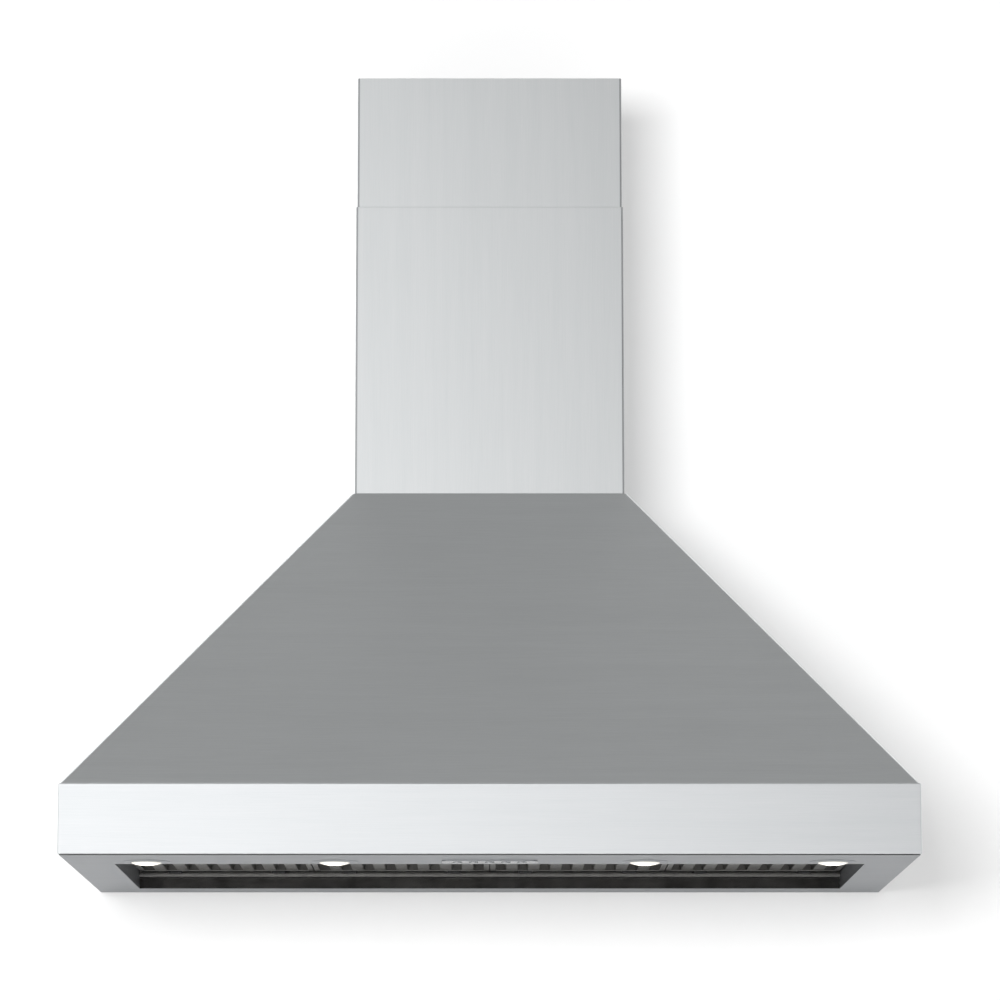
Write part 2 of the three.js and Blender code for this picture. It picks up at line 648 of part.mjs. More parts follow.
/** Side of the blower, with a rolled inlet round the wheel's eye. */
function blowerSide(side) {
  const x0 = SCROLL.half + GAP;
  const plate = prismX(scrollOutline(SCROLL.sheet + 6, SCROLL.top), x0, x0 + SCROLL.sheet);
  const eye = alongX(rod(WHEEL.eye, x0 - 20, x0 + 30, 28)).translate([0, WHEEL.y, WHEEL.z]);
  const lip = alongX(
    turned(
      [[WHEEL.eye + 3, x0], [WHEEL.eye, x0 - 5], [WHEEL.eye - 1.2, x0 - 5],
        [WHEEL.eye + 1, x0 + SCROLL.sheet], [WHEEL.eye + 3, x0 + SCROLL.sheet],
        [WHEEL.eye + 3, x0]],
      28,
    ),
  ).translate([0, WHEEL.y, WHEEL.z]);
  const made = join(cut(plate, eye), lip);
  return side > 0 ? made : made.mirror([1, 0, 0]);
}

/** Forward-curved blade section in (y, z), from the wheel's eye to its rim. */
function bladeSection() {
  const steps = 2;
  const thickness = 1.2;
  const edge = (shift) =>
    Array.from({ length: steps + 1 }, (_, k) => {
      const share = k / steps;
      const r = WHEEL.eye + 0.5 + (WHEEL.r - WHEEL.eye - 1) * share;
      const swept = 0.02 + 0.16 * share * share;
      return [r * Math.cos(swept) - shift * Math.sin(swept), r * Math.sin(swept) + shift];
    });
  return [...edge(0), ...edge(thickness).reverse()];
}

/** Double-inlet squirrel-cage wheel: two end rings, a centre disc with its hub, and the blades. */
function fanWheel() {
  const { half, eye, r, blades } = WHEEL;
  const blade = prismX(bladeSection(), -half + 1, half - 1);
  const all = Array.from({ length: blades }, (_, k) => blade.rotate([(360 * k) / blades, 0, 0]));
  const rings = [-half, half - 2].map((x) => alongX(ring(eye, r + 1, x, x + 2, blades)));
  const profile = [
    [5.4, -2], [14, -2], [14, 8], [18, 8], [40, 10], [r + 1, 10], [r + 1, 12], [38, 12],
    [14, 24], [5.4, 24], [5.4, -2],
  ];
  const disc = alongX(turned(profile, blades));
  return join(...rings, disc, ...all).translate([0, WHEEL.y, WHEEL.z]);
}

function motorShaft() {
  return alongX(rod(5, -30, 34, 16)).translate([0, WHEEL.y, WHEEL.z]);
}

/** Motor can with ribs, bored for the shaft's near end. */
function motor() {
  const profile = [
    [5.6, -4], [20, -4], [20, -8], [42, -12], [46, -18], [46, -40], [44, -40], [44, -54],
    [46, -54], [46, -78], [40, -88], [0, -88], [0, -34], [5.6, -34], [5.6, -4],
  ];
  return alongX(turned(profile, 16)).translate([0, WHEEL.y, WHEEL.z]);
}

/** Three-armed spider that hangs the motor in the left inlet. */
function motorMount() {
  const x1 = -SCROLL.half - GAP - SCROLL.sheet - GAP;
  const hub = alongX(rod(30, x1 - 3, x1, 20));
  const boss = alongX(rod(14, -98, -88.3, 16));
  const arm = block(x1 - 3, x1, -9, 9, 20, WHEEL.eye + 18);
  const arms = [0, 120, 240].map((angle) => arm.rotate([angle, 0, 0]));
  return join(hub, boss.add(alongX(rod(14, x1 - 1, -97, 16))), ...arms).translate([0, WHEEL.y, WHEEL.z]);
}

// ---------------------------------------------------------------- electrics

/** Tray on the rear panel that holds the lamp driver and the speed control. */
function electronicsTray() {
  const { x0, x1, z0, z1, depth } = TRAY;
  const t = SHEET;
  return cut(
    block(x0, x1, -depth, PANEL_FACE - GAP, z0, z1),
    block(x0 + t, x1 - t, -depth - 9, PANEL_FACE - GAP - t, z0 + t, z1 - t),
  );
}

function electronicsCover() {
  const { x0, x1, z0, z1, depth } = TRAY;
  const wall = 1.8;
  const out = wall + 2 * GAP;
  return cut(
    block(x0 - out, x1 + out, -depth - out, -depth + 12, z0 - out, z1 + out),
    block(x0 - out + wall, x1 + out - wall, -depth - 2 * GAP, -depth + 20, z0 - out + wall, z1 + out - wall),
  );
}

/** Mains connection box, open to the cable hole behind it, with a screwing foot above and below. */
function junctionBox() {
  const { x, z, halfX, halfZ, depth } = BOX;
  const front = -depth - SHEET;
  const back = PANEL_FACE - GAP;
  const walls = cut(
    block(x - halfX, x + halfX, front, back, z - halfZ, z + halfZ),
    block(x - halfX + SHEET, x + halfX - SHEET, front + SHEET, 5, z - halfZ + SHEET, z + halfZ - SHEET),
  );
  const foot = (z0) => block(x - halfX, x + halfX, back - SHEET, back, z0, z0 + 10);
  return join(walls, foot(z - halfZ - 8), foot(z + halfZ - 2));
}

// ---------------------------------------------------------------- assembly

const hood = new THREE.Group();
hood.position.z = -HANG_HEIGHT;

function place(name, body, material) {
  const mesh = new THREE.Mesh(geometryOf(body), material);
  mesh.name = name;
  hood.add(mesh);
}

place("canopy_shell", canopyShell(), brushed);
place("skirt_band", skirtBand(), brushed);
place("rear_panel", rearPanel(), galvanised);
place("hang_bracket_left", hangBracket(-170), galvanised);
place("hang_bracket_right", hangBracket(170), galvanised);

place("bottom_frame", bottomFrame(), brushed);
place("gutter_rail", gutterRail(), brushed);
place("front_rail", frontRail(), brushed);

for (let n = 1; n <= FILTERS; n++) {
  const x = (n - (FILTERS + 1) / 2) * FILTER.pitch;
  place(`baffle_filter_${n}`, baffleFilter(x), darkBrushed);
  place(`filter_handle_${n}`, filterHandle(x), polished);
  place(`magnet_catch_${n}`, magnetCatch(x), magnetCoat);
}

LAMP_X.forEach((x, k) => {
  place(`lamp_bezel_${k + 1}`, lampBezel(x), polished);
  place(`lamp_lens_${k + 1}`, lampLensBody(x), lampLens);
  place(`lamp_can_${k + 1}`, lampCan(x), blackSteel);
});

place("control_bezel", controlBezel(), polished);
place("control_housing", controlHousing(), blackPlastic);
BUTTON_X.forEach((x, k) => place(`button_${k + 1}`, button(x), polished));

place("chimney_lower_cover", lowerCover(), brushed);
place("chimney_upper_cover", upperCover(), brushed);
place("chimney_bracket", chimneyBracket(), galvanised);
place("cover_screw_left", coverScrew(-1), polished);
place("cover_screw_right", coverScrew(1), polished);

place("top_plate", topPlate(), galvanised);
place("duct_collar", ductCollar(), galvanised);
place("damper_pin", damperPin(), polished);
place("damper_flap_front", damperFlap(-1), galvanised);
place("damper_flap_back", damperFlap(1), galvanised);

place("blower_scroll", blowerScroll(), galvanised);
place("blower_side_left", blowerSide(-1), galvanised);
place("blower_side_right", blowerSide(1), galvanised);
place("fan_wheel", fanWheel(), galvanised);
place("motor_shaft", motorShaft(), polished);
place("motor", motor(), blackSteel);
place("motor_mount", motorMount(), galvanised);

place("electronics_tray", electronicsTray(), galvanised);
place("electronics_cover", electronicsCover(), blackPlastic);
place("junction_box", junctionBox(), galvanised);

export default hood;
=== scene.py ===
"""A wall-mounted chimney range hood: its finishes and fine shapes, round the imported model.

The frame holds every piece at its real size and place. This script rebuilds the pieces that show with
rounded folds, smooth turned forms and repeated detail, gives each surface the finish of its material,
and sets the camera, the wall, the floor and the studio light.
"""

import logging
import math
from collections.abc import Callable, Iterable, Sequence
from dataclasses import dataclass, field
from enum import Enum
from functools import partial
from typing import Any

import bmesh
import bpy
from mathutils import Matrix, Vector
from mathutils.geometry import tessellate_polygon


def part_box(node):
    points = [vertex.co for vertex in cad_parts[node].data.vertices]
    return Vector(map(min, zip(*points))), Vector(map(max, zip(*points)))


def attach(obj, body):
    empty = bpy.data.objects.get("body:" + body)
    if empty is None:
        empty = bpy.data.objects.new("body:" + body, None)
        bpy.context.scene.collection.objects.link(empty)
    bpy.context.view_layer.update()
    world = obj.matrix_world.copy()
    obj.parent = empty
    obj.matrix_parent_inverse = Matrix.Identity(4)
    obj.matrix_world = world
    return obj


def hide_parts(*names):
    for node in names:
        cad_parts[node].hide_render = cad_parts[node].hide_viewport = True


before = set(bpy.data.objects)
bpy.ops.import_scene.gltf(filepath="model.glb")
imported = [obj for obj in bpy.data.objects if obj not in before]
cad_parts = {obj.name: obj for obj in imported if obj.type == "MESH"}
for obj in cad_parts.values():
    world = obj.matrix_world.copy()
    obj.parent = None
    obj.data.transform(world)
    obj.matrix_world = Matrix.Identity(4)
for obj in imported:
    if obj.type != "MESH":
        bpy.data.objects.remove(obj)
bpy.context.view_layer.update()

LOG = logging.getLogger("range_hood")

MM = 0.001
HANG_HEIGHT = 480 * MM  # the frame's origin above the underside
SHEET = 1.2 * MM  # 18 gauge steel
GAP = 0.3 * MM  # between pieces that touch
SEAT = 0.05 * MM  # between a trim and the plate that it is pressed on
SCREW_EDGE = 0.15 * MM  # the rounding of a screw's edges
WALL = 0.0  # the wall's plane, on y

Point = tuple[float, float, float]
Pair = tuple[float, float]
Material = bpy.types.Material
Piece = bpy.types.Object
Socket = bpy.types.NodeSocket
Tree = bpy.types.NodeTree

HOOD = "hood"
UPPER = "upper_chimney"

FILTER_NUMBERS = range(1, 5)
LAMP_NUMBERS = range(1, 5)
LENS_ATTRIBUTE = "over_board"  # how near a point of a lens is to its LED board


# ---------------------------------------------------------------- names of options


class Grain(Enum):
    """Which way a sheet was brushed, as the axes that the scratches run along."""

    ALONG_X = (True, False, False)
    LEVEL = (True, True, False)
    UPRIGHT = (False, False, True)


class Axis(Enum):
    """The axis that an outline is pushed along or turned round, as a matrix from (a, b, along) to x, y, z."""

    X = Matrix(((0, 0, 1), (1, 0, 0), (0, 1, 0)))
    Y = Matrix(((1, 0, 0), (0, 0, 1), (0, 1, 0)))
    Z = Matrix(((1, 0, 0), (0, 1, 0), (0, 0, 1)))


class Side(Enum):
    """A side of the hood, for a person who faces it."""

    LEFT = -1
    RIGHT = 1


# ---------------------------------------------------------------- outlines and meshes


def lift(z: float) -> float:
    """A height above the underside, in the frame's z."""
    return z - HANG_HEIGHT


def fillet(points: Sequence[Pair], radius: float, steps: int = 3, closed: bool = True) -> list[Pair]:
    """Rounds the corners of an outline.

    Args:
        points: The outline's corners, in metres.
        radius: The radius of the arcs. A short edge makes the arcs beside it smaller.
        steps: How many straight pieces each arc has.
        closed: Whether the last corner joins the first one.

    Returns:
        The corners of the rounded outline.
    """
    share = 0.48  # of an edge that one corner may use
    straight = math.radians(179)  # a corner as flat as this stays as it is
    rounded: list[Pair] = []
    count = len(points)
    for k, point in enumerate(points):
        corner = Vector(point)
        before = Vector(points[k - 1]) - corner
        after = Vector(points[(k + 1) % count]) - corner
        end = not closed and k in (0, count - 1)
        if end or min(before.length, after.length) == 0 or before.angle(after) > straight:
            rounded.append((corner.x, corner.y))
            continue
        half = before.angle(after) / 2
        back = min(radius / math.tan(half), before.length * share, after.length * share)
        start = corner + before.normalized() * back
        stop = corner + after.normalized() * back
        middle = (before.normalized() + after.normalized()).normalized()
        centre = corner + middle * (back * math.tan(half) / math.sin(half))
        for step in range(steps + 1):
            spoke = (start - centre).slerp(stop - centre, step / steps)
            spot = centre + spoke.normalized() * (start - centre).length
            rounded.append((spot.x, spot.y))
    return rounded


def circle(x: float, y: float, radius: float, steps: int = 32) -> list[Pair]:
    """The corners of a round outline about (x, y)."""
    turns = [2 * math.pi * k / steps for k in range(steps)]
    return [(x + radius * math.cos(t), y + radius * math.sin(t)) for t in turns]


def rectangle(x0: float, x1: float, y0: float, y1: float, radius: float = 0.0) -> list[Pair]:
    """The corners of a rectangle between two values on each axis, with rounded corners."""
    corners = [(x0, y0), (x1, y0), (x1, y1), (x0, y1)]
    return fillet(corners, radius, 6) if radius else corners


def in_mm(*pairs: Pair) -> list[Pair]:
    """An outline that is written in millimetres, in metres."""
    return [(a * MM, b * MM) for a, b in pairs]


def rod_profile(radius: float, bevel: float, low: float, high: float) -> list[Pair]:
    """The profile of a round rod with bevelled ends, as pairs of radius and height.

    Args:
        radius: The rod's radius.
        bevel: How far its ends are bevelled.
        low: Where it starts on its axis.
        high: Where it ends.

    Returns:
        The profile's corners.
    """
    return [
        (0.0, low), (radius - bevel, low), (radius, low + bevel),
        (radius, high - bevel), (radius - bevel, high), (0.0, high),
    ]


def put(name: str, data: bpy.types.ID) -> Piece:
    """Makes an object of a mesh, lamp or camera in the scene's collection.

    Args:
        name: The object's name.
        data: The mesh, lamp or camera.

    Returns:
        The object.
    """
    made = bpy.data.objects.new(name, data)
    bpy.context.scene.collection.objects.link(made)
    return made


def new_piece(name: str, points: Iterable[Sequence[float]], faces: Iterable[Sequence[int]]) -> Piece:
    """Makes a closed mesh object with its faces pointing out.

    Args:
        name: The piece's name.
        points: The corners, in the frame's metres.
        faces: The faces, as indices of corners.

    Returns:
        The object, in the scene's collection.
    """
    mesh = bpy.data.meshes.new(name)
    mesh.from_pydata([tuple(point) for point in points], [], [tuple(face) for face in faces])
    clean(mesh)
    return put(name, mesh)


def clean(mesh: bpy.types.Mesh, dissolve: bool = False) -> None:
    """Merges a mesh's doubles and turns its faces outwards.

    Args:
        mesh: The mesh to clean.
        dissolve: Whether faces in one plane become one face.
    """
    tight = 1e-6
    body = bmesh.new()
    body.from_mesh(mesh)
    bmesh.ops.remove_doubles(body, verts=body.verts, dist=tight)
    bmesh.ops.dissolve_degenerate(body, edges=body.edges, dist=tight)
    if dissolve:
        flat = math.radians(0.5)
        bmesh.ops.dissolve_limit(body, angle_limit=flat, verts=body.verts, edges=body.edges)
    bmesh.ops.recalc_face_normals(body, faces=body.faces)
    body.to_mesh(mesh)
    body.free()


def bake(piece: Piece) -> Piece:
    """Turns a piece with modifiers into a plain mesh.

    Args:
        piece: The piece.

    Returns:
        The same piece, with no modifiers.
    """
    graph = bpy.context.evaluated_depsgraph_get()
    made = bpy.data.meshes.new_from_object(piece.evaluated_get(graph))
    piece.modifiers.clear()
    piece.data = made
    return piece


def soften(piece: Piece, width: float, segments: int = 2) -> Piece:
    """Rounds a piece's sharp edges and smooths its shading.

    Args:
        piece: The piece, with no modifiers.
        width: How far the rounding reaches from an edge.
        segments: How many faces the rounding has.

    Returns:
        The piece.
    """
    crease = math.radians(28)
    piece.data.polygons.foreach_set("use_smooth", [True] * len(piece.data.polygons))
    bevel = piece.modifiers.new("edges", "BEVEL")
    bevel.width = width
    bevel.segments = segments
    bevel.limit_method = "ANGLE"
    bevel.angle_limit = crease
    bevel.harden_normals = True
    weigh = piece.modifiers.new("shading", "WEIGHTED_NORMAL")
    weigh.keep_sharp = True
    return bake(piece)


def join(name: str, parts: Sequence[Piece]) -> Piece:
    """Joins several pieces of one finish into one with a new name.

    Args:
        name: The new name.
        parts: The pieces, which are removed.

    Returns:
        The joined piece, with no finish yet.
    """
    body = bmesh.new()
    for part in parts:
        body.from_mesh(part.data)
    mesh = bpy.data.meshes.new(name)
    body.to_mesh(mesh)
    body.free()
    for part in parts:
        bpy.data.objects.remove(part)
    return put(name, mesh)


def prism(
    name: str,
    outline: Sequence[Pair],
    low: float,
    high: float,
    axis: Axis = Axis.Z,
    holes: Sequence[Sequence[Pair]] = (),
) -> Piece:
    """Pushes an outline along an axis.

    Args:
        name: The piece's name.
        outline: The outer corners. Along x they are (y, z), along y (x, z) and along z (x, y).
        low: Where the piece starts on the axis.
        high: Where it ends.
        axis: The axis.
        holes: Outlines cut out of the first one.

    Returns:
        The object.
    """
    loops = [list(outline), *map(list, holes)]
    flat = [[Vector((a, b, 0)) for a, b in loop] for loop in loops]
    corners = [corner for loop in flat for corner in loop]
    count = len(corners)
    points = [axis.value @ Vector((c.x, c.y, level)) for level in (low, high) for c in corners]
    caps = tessellate_polygon(flat) if holes else [tuple(range(count))]
    faces = [tuple(cap) for cap in caps] + [tuple(i + count for i in reversed(cap)) for cap in caps]
    start = 0
    for loop in loops:
        size = len(loop)
        for k in range(size):
            a, b = start + k, start + (k + 1) % size
            faces.append((a, b, b + count, a + count))
        start += size
    return new_piece(name, points, faces)


def lathe(
    name: str,
    profile: Sequence[Pair],
    centre: Point,
    axis: Axis = Axis.Z,
    steps: int = 48,
    ring: bool = False,
) -> Piece:
    """Turns a profile round an axis.

    Args:
        name: The piece's name.
        profile: Pairs of radius and height, from the axis to the axis, or a closed ring.
        centre: The point on the axis at height 0.
        axis: The axis.
        steps: How many faces go round.
        ring: Whether the profile closes on itself.

    Returns:
        The object.
    """
    count = len(profile)
    points = []
    for step in range(steps):
        turn = 2 * math.pi * step / steps
        for radius, height in profile:
            spot = Vector((radius * math.cos(turn), radius * math.sin(turn), height))
            points.append(axis.value @ spot + Vector(centre))
    spans = count if ring else count - 1
    faces = []
    for step in range(steps):
        here, there = step * count, (step + 1) % steps * count
        for k in range(spans):
            after = (k + 1) % count
            faces.append((here + k, there + k, there + after, here + after))
    return new_piece(name, points, faces)


@dataclass(frozen=True)
class Row:
    """One line of a folded sheet that goes round the front and both sides, seen from above.

    Attributes:
        half: Half of the width.
        front: Where the front lies on y.
        z: The height.
        radius: The radius of the two front corners.
    """

    half: float
    front: float
    z: float
    radius: float = 0.0

    def points(self, steps: int) -> list[Point]:
        """The line's corners, from its left end at the wall to its right one.

        Args:
            steps: How many straight pieces each corner's arc has.

        Returns:
            The corners, as many for every row.
        """
        line: list[Point] = [(-self.half, WALL, self.z)]
        for side, first in ((Side.LEFT, 180), (Side.RIGHT, 270)):
            x = side.value * (self.half - self.radius)
            y = self.front + self.radius
            for step in range(steps + 1):
                turn = math.radians(first + 90 * step / steps)
                line.append((x + self.radius * math.cos(turn), y + self.radius * math.sin(turn), self.z))
        line.append((self.half, WALL, self.z))
        return line


def folded_section(low: float, high: float, flange: float, bend: float = 0.0) -> list[Pair]:
    """The section of a sheet that is folded inwards at its bottom and top.

    Args:
        low: The bottom's height.
        high: The top's height.
        flange: How far the folded edges reach in.
        bend: The outer radius of the folds, or 0 for sharp ones.

    Returns:
        Pairs of inset and height, up the outer face and down the inner one.
    """
    steps = 6
    outer = [(flange, low), (0.0, low), (0.0, high), (flange, high)]
    inner = [(flange, high - SHEET), (SHEET, high - SHEET), (SHEET, low + SHEET), (flange, low + SHEET)]
    if bend:
        outer = fillet(outer, bend, steps, closed=False)
        inner = fillet(inner, bend - SHEET, steps, closed=False)
    return outer + inner


def folded_shell(name: str, rows: Sequence[Row], steps: int = 5) -> Piece:
    """Makes a sheet that goes round the front and sides from the rows of its closed section.

    Args:
        name: The piece's name.
        rows: The section's lines: the outer ones, then as many inner ones the other way.
        steps: How many straight pieces each corner's arc has.

    Returns:
        The object.
    """
    lines = [row.points(steps) for row in rows]
    width = len(lines[0])
    faces = []
    for r in range(len(lines)):
        here, there = r * width, (r + 1) % len(lines) * width
        faces += [(here + k, here + k + 1, there + k + 1, there + k) for k in range(width - 1)]
    last = len(lines) - 1
    for end in (0, width - 1):
        for r in range(last // 2):
            faces.append(tuple(k * width + end for k in (r, r + 1, last - r - 1, last - r)))
    return new_piece(name, [point for line in lines for point in line], faces)


def frame_shell(name: str, rows: Sequence[tuple[float, float, float, float, float]]) -> Piece:
    """Makes a folded rectangular frame from rows of (x0, x1, y0, y1, z) round its closed section.

    Args:
        name: The piece's name.
        rows: The section's rectangles, in order round it.

    Returns:
        The object.
    """
    points = []
    for x0, x1, y0, y1, z in rows:
        points += [(x0, y0, z), (x1, y0, z), (x1, y1, z), (x0, y1, z)]
    faces = []
    for r in range(len(rows)):
        here, there = r * 4, (r + 1) % len(rows) * 4
        faces += [(here + k, here + (k + 1) % 4, there + (k + 1) % 4, there + k) for k in range(4)]
    return new_piece(name, points, faces)


def tube(name: str, path: Sequence[Point], radius: float, sides: int = 12) -> Piece:
    """Makes a round wire along a path that lies in one plane square to y.

    Args:
        name: The piece's name.
        path: The points of the wire's centre line.
        radius: The wire's radius.
        sides: How many faces go round.

    Returns:
        The object.
    """
    spots = [Vector(point) for point in path]
    across = Vector((0, 1, 0))
    points, faces = [], []
    for k, spot in enumerate(spots):
        ahead = spots[min(k + 1, len(spots) - 1)] - spots[max(k - 1, 0)]
        out = ahead.normalized().cross(across)
        for side in range(sides):
            turn = 2 * math.pi * side / sides
            points.append(spot + radius * (math.cos(turn) * across + math.sin(turn) * out))
    for k in range(len(spots) - 1):
        here, there = k * sides, (k + 1) * sides
        for side in range(sides):
            after = (side + 1) % sides
            faces.append((here + side, here + after, there + after, there + side))
    last = (len(spots) - 1) * sides
    faces += [tuple(range(sides)), tuple(range(last, last + sides))]
    return new_piece(name, points, faces)


def settle(piece: Piece, material: Material, body: str, nodes: Sequence[str] = ()) -> None:
    """Gives a finished piece its material, its body and the nodes that it stands for.

    Args:
        piece: The piece, a plain mesh in the frame's place.
        material: Its finish.
        body: The body that it moves with.
        nodes: The nodes that it replaces.
    """
    piece.data.materials.clear()
    piece.data.materials.append(material)
    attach(piece, body)
    if nodes:
        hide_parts(*nodes)
    LOG.info("%s: %d faces on %s", piece.name, len(piece.data.polygons), body)


def dress_node(node: str, name: str, width: float, material: Material, body: str = HOOD) -> Piece:
    """Settles a copy of a node, with its edges rounded, in the node's place.

    Args:
        node: The node's name.
        name: The copy's name.
        width: How far the rounding reaches from an edge.
        material: Its finish.
        body: The body that it moves with.

    Returns:
        The copy.
    """
    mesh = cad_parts[node].data.copy()
    mesh.name = name
    mesh.materials.clear()
    clean(mesh, dissolve=True)
    piece = soften(put(name, mesh), width)
    settle(piece, material, body, [node])
    return piece


def add_finish(piece: Piece, material: Material, applies: Callable[[bpy.types.MeshPolygon], bool]) -> None:
    """Gives some of a settled piece's faces a second finish.

    Args:
        piece: The piece.
        material: The second finish.
        applies: Whether a face has it.
    """
    piece.data.materials.append(material)
    for face in piece.data.polygons:
        face.material_index = int(applies(face))


# ---------------------------------------------------------------- nodes


def linear(colour: str) -> tuple[float, float, float, float]:
    """An sRGB hex colour as linear values with full alpha.

    Args:
        colour: The colour, as a hash sign and six hex digits.

    Returns:
        Red, green, blue and alpha.
    """
    parts = [int(colour[k : k + 2], 16) / 255 for k in (1, 3, 5)]
    red, green, blue = [p / 12.92 if p <= 0.04045 else ((p + 0.055) / 1.055) ** 2.4 for p in parts]
    return red, green, blue, 1.0


def add_node(
    tree: Tree, kind: str, settings: dict | None = None, inputs: dict | None = None
) -> bpy.types.Node:
    """Adds a node with its settings and links.

    Args:
        tree: The tree to add to.
        kind: The node's type name.
        settings: Values of the node's own settings, by name.
        inputs: Constants or output sockets for its inputs, by name or place.

    Returns:
        The node.
    """
    node = tree.nodes.new(kind)
    for key, value in (settings or {}).items():
        setattr(node, key, value)
    for key, value in (inputs or {}).items():
        if isinstance(value, Socket):
            tree.links.new(value, node.inputs[key])
        else:
            node.inputs[key].default_value = value
    return node


def calculate(tree: Tree, operation: str, *values: Socket | float) -> Socket:
    """A Math node's result."""
    return add_node(tree, "ShaderNodeMath", {"operation": operation}, dict(enumerate(values))).outputs[0]


def new_material(name: str) -> tuple[Material, Tree]:
    """Makes an empty node material, and gives it and its tree.

    Args:
        name: The material's name.

    Returns:
        The material and its tree.
    """
    material = bpy.data.materials.new(name)
    material.use_nodes = True
    material.node_tree.nodes.clear()
    return material, material.node_tree


def object_coordinates(tree: Tree) -> Socket:
    """The Object coordinates of a material."""
    return add_node(tree, "ShaderNodeTexCoord").outputs["Object"]


def noise(tree: Tree, spacing: Sequence[float], detail: float = 3.0) -> Socket:
    """A noise whose marks are so many metres long on each axis.

    Args:
        tree: The material's tree.
        spacing: The marks' length on x, y and z.
        detail: How many finer layers the noise has.

    Returns:
        The noise's value, about 0.5.
    """
    scale = tuple(1 / length for length in spacing)
    placed = add_node(tree, "ShaderNodeMapping", None, {"Vector": object_coordinates(tree), "Scale": scale})
    inputs = {"Vector": placed.outputs[0], "Scale": 1.0, "Detail": detail, "Roughness": 0.6}
    return add_node(tree, "ShaderNodeTexNoise", None, inputs).outputs[0]


def remap(
    tree: Tree, value: Socket, low: float, high: float, start: float = 0.3, end: float = 0.7
) -> Socket:
    """A value between start and end, stretched to lie between low and high."""
    inputs = {"Value": value, "From Min": start, "From Max": end, "To Min": low, "To Max": high}
    return add_node(tree, "ShaderNodeMapRange", None, inputs).outputs[0]


def blend(tree: Tree, share: Socket, first: str, second: str) -> Socket:
    """A colour between two hex colours, by a share from 0 to 1.

    Args:
        tree: The material's tree.
        share: Where the colour lies between the two.
        first: The colour at 0.
        second: The colour at 1.

    Returns:
        The colour's socket.
    """
    settings = {"data_type": "RGBA"}
    node = add_node(tree, "ShaderNodeMix", settings, {0: share, 6: linear(first), 7: linear(second)})
    return node.outputs[2]


def bump(tree: Tree, height: Socket, depth: float) -> Socket:
    """A normal raised by a height of so many metres."""
    inputs = {"Height": height, "Distance": depth, "Strength": 1.0}
    return add_node(tree, "ShaderNodeBump", None, inputs).outputs[0]


def grey(level: float) -> tuple[float, float, float, float]:
    """A linear grey with full alpha."""
    return level, level, level, 1.0


# ---------------------------------------------------------------- finishes


@dataclass(frozen=True)
class Finish:
    """A surface with a node material of its own.

    Attributes:
        name: The material's name.
    """

    name: str

    def inputs(self, tree: Tree) -> dict:
        """What the Principled shader is given, by the names of its inputs."""
        raise NotImplementedError

    def make(self) -> Material:
        """Makes the material.

        Returns:
            The material.
        """
        material, tree = new_material(self.name)
        shader = add_node(tree, "ShaderNodeBsdfPrincipled", None, self.inputs(tree))
        add_node(tree, "ShaderNodeOutputMaterial", None, {"Surface": shader.outputs[0]})
        return material


@dataclass(frozen=True)
class Mottled(Finish):
    """A finish whose colour wanders between two that are close.

    Attributes:
        light: The lighter colour.
        dark: The darker colour.
    """

    light: str
    dark: str

    def mottle(self, tree: Tree, marks: Socket, start: float = 0.3, end: float = 0.7) -> Socket:
        """The colour, dark where the marks are at start and light where they are at end."""
        return blend(tree, remap(tree, marks, 0, 1, start, end), self.dark, self.light)


@dataclass(frozen=True)
class BrushedSteel(Mottled):
    """Stainless steel sheet, ground with a fine belt in one direction.

    To the eye it is a soft mirror: it shows the light and dark of the room, drawn out and blurred, with
    faint scratches along the grain and broader bands where the belt overlapped.

    Attributes:
        grain: Which way it was ground.
        roughness: How blurred the mirror is.
        edge: How much of the light a grazing view gives back.
        scratch: How far apart the scratches lie. The real ones lie 0.2 mm apart, too fine to show.
        length: How long a scratch is.
        depth: How deep a scratch is.
    """

    grain: Grain
    roughness: float = 0.33
    edge: float = 1.0
    scratch: float = 1.1 * MM
    length: float = 70 * MM
    depth: float = 0.0025 * MM

    def inputs(self, tree: Tree) -> dict:
        """The steel's colour, gloss and scratches.

        Args:
            tree: The material's tree.

        Returns:
            The shader's inputs by name.
        """
        longer, wider = 6, 14  # a lap of the belt against a scratch
        hand, uneven = 170 * MM, 0.02  # the size of a handled patch, and how much its gloss differs
        lines = [self.length if along else self.scratch for along in self.grain.value]
        bands = [self.length * longer if along else self.scratch * wider for along in self.grain.value]
        scratches = noise(tree, lines)
        laps = noise(tree, bands, 1.0)
        handling = noise(tree, [hand] * 3, 2.0)
        both = calculate(tree, "MULTIPLY_ADD", laps, 0.5, scratches)
        wear = calculate(tree, "ADD", scratches, handling)
        return {
            "Base Color": self.mottle(tree, both, 0.45, 1.05),
            "Metallic": 1.0,
            "Roughness": remap(tree, wear, self.roughness - uneven, self.roughness + uneven, 0.7, 1.3),
            "Specular Tint": grey(self.edge),
            "Normal": bump(tree, scratches, self.depth),
        }


@dataclass(frozen=True)
class MillFinishWithPaintedShade(Mottled):
    """The inner side of the sheet, cold rolled and never brushed.

    To the eye it is a smooth, dull grey mirror, cloudy in soft patches, and darker than the ground face: the
    darkness is painted shade for the recess above the air opening and the gap at the plate's front edge.
    """

    name: str = "cold_rolled_stainless_painted_shade"
    # Dark greys: painted shade for the recess and the gap at the plate's edge.
    light: str = "#5C5B5A"
    dark: str = "#4D4C4B"
    roughness: float = 0.2
    edge: float = 0.5

    def inputs(self, tree: Tree) -> dict:
        """The steel's colour, clouds and grit.

        Args:
            tree: The material's tree.

        Returns:
            The shader's inputs by name.
        """
        clouds = noise(tree, [28 * MM] * 3, 2.0)
        grit = noise(tree, [0.8 * MM] * 3, 1.0)
        return {
            "Base Color": self.mottle(tree, clouds),
            "Metallic": 1.0,
            "Roughness": remap(tree, clouds, self.roughness - 0.03, self.roughness + 0.05),
            "Specular Tint": grey(self.edge),
            "Normal": bump(tree, grit, 0.001 * MM),
        }


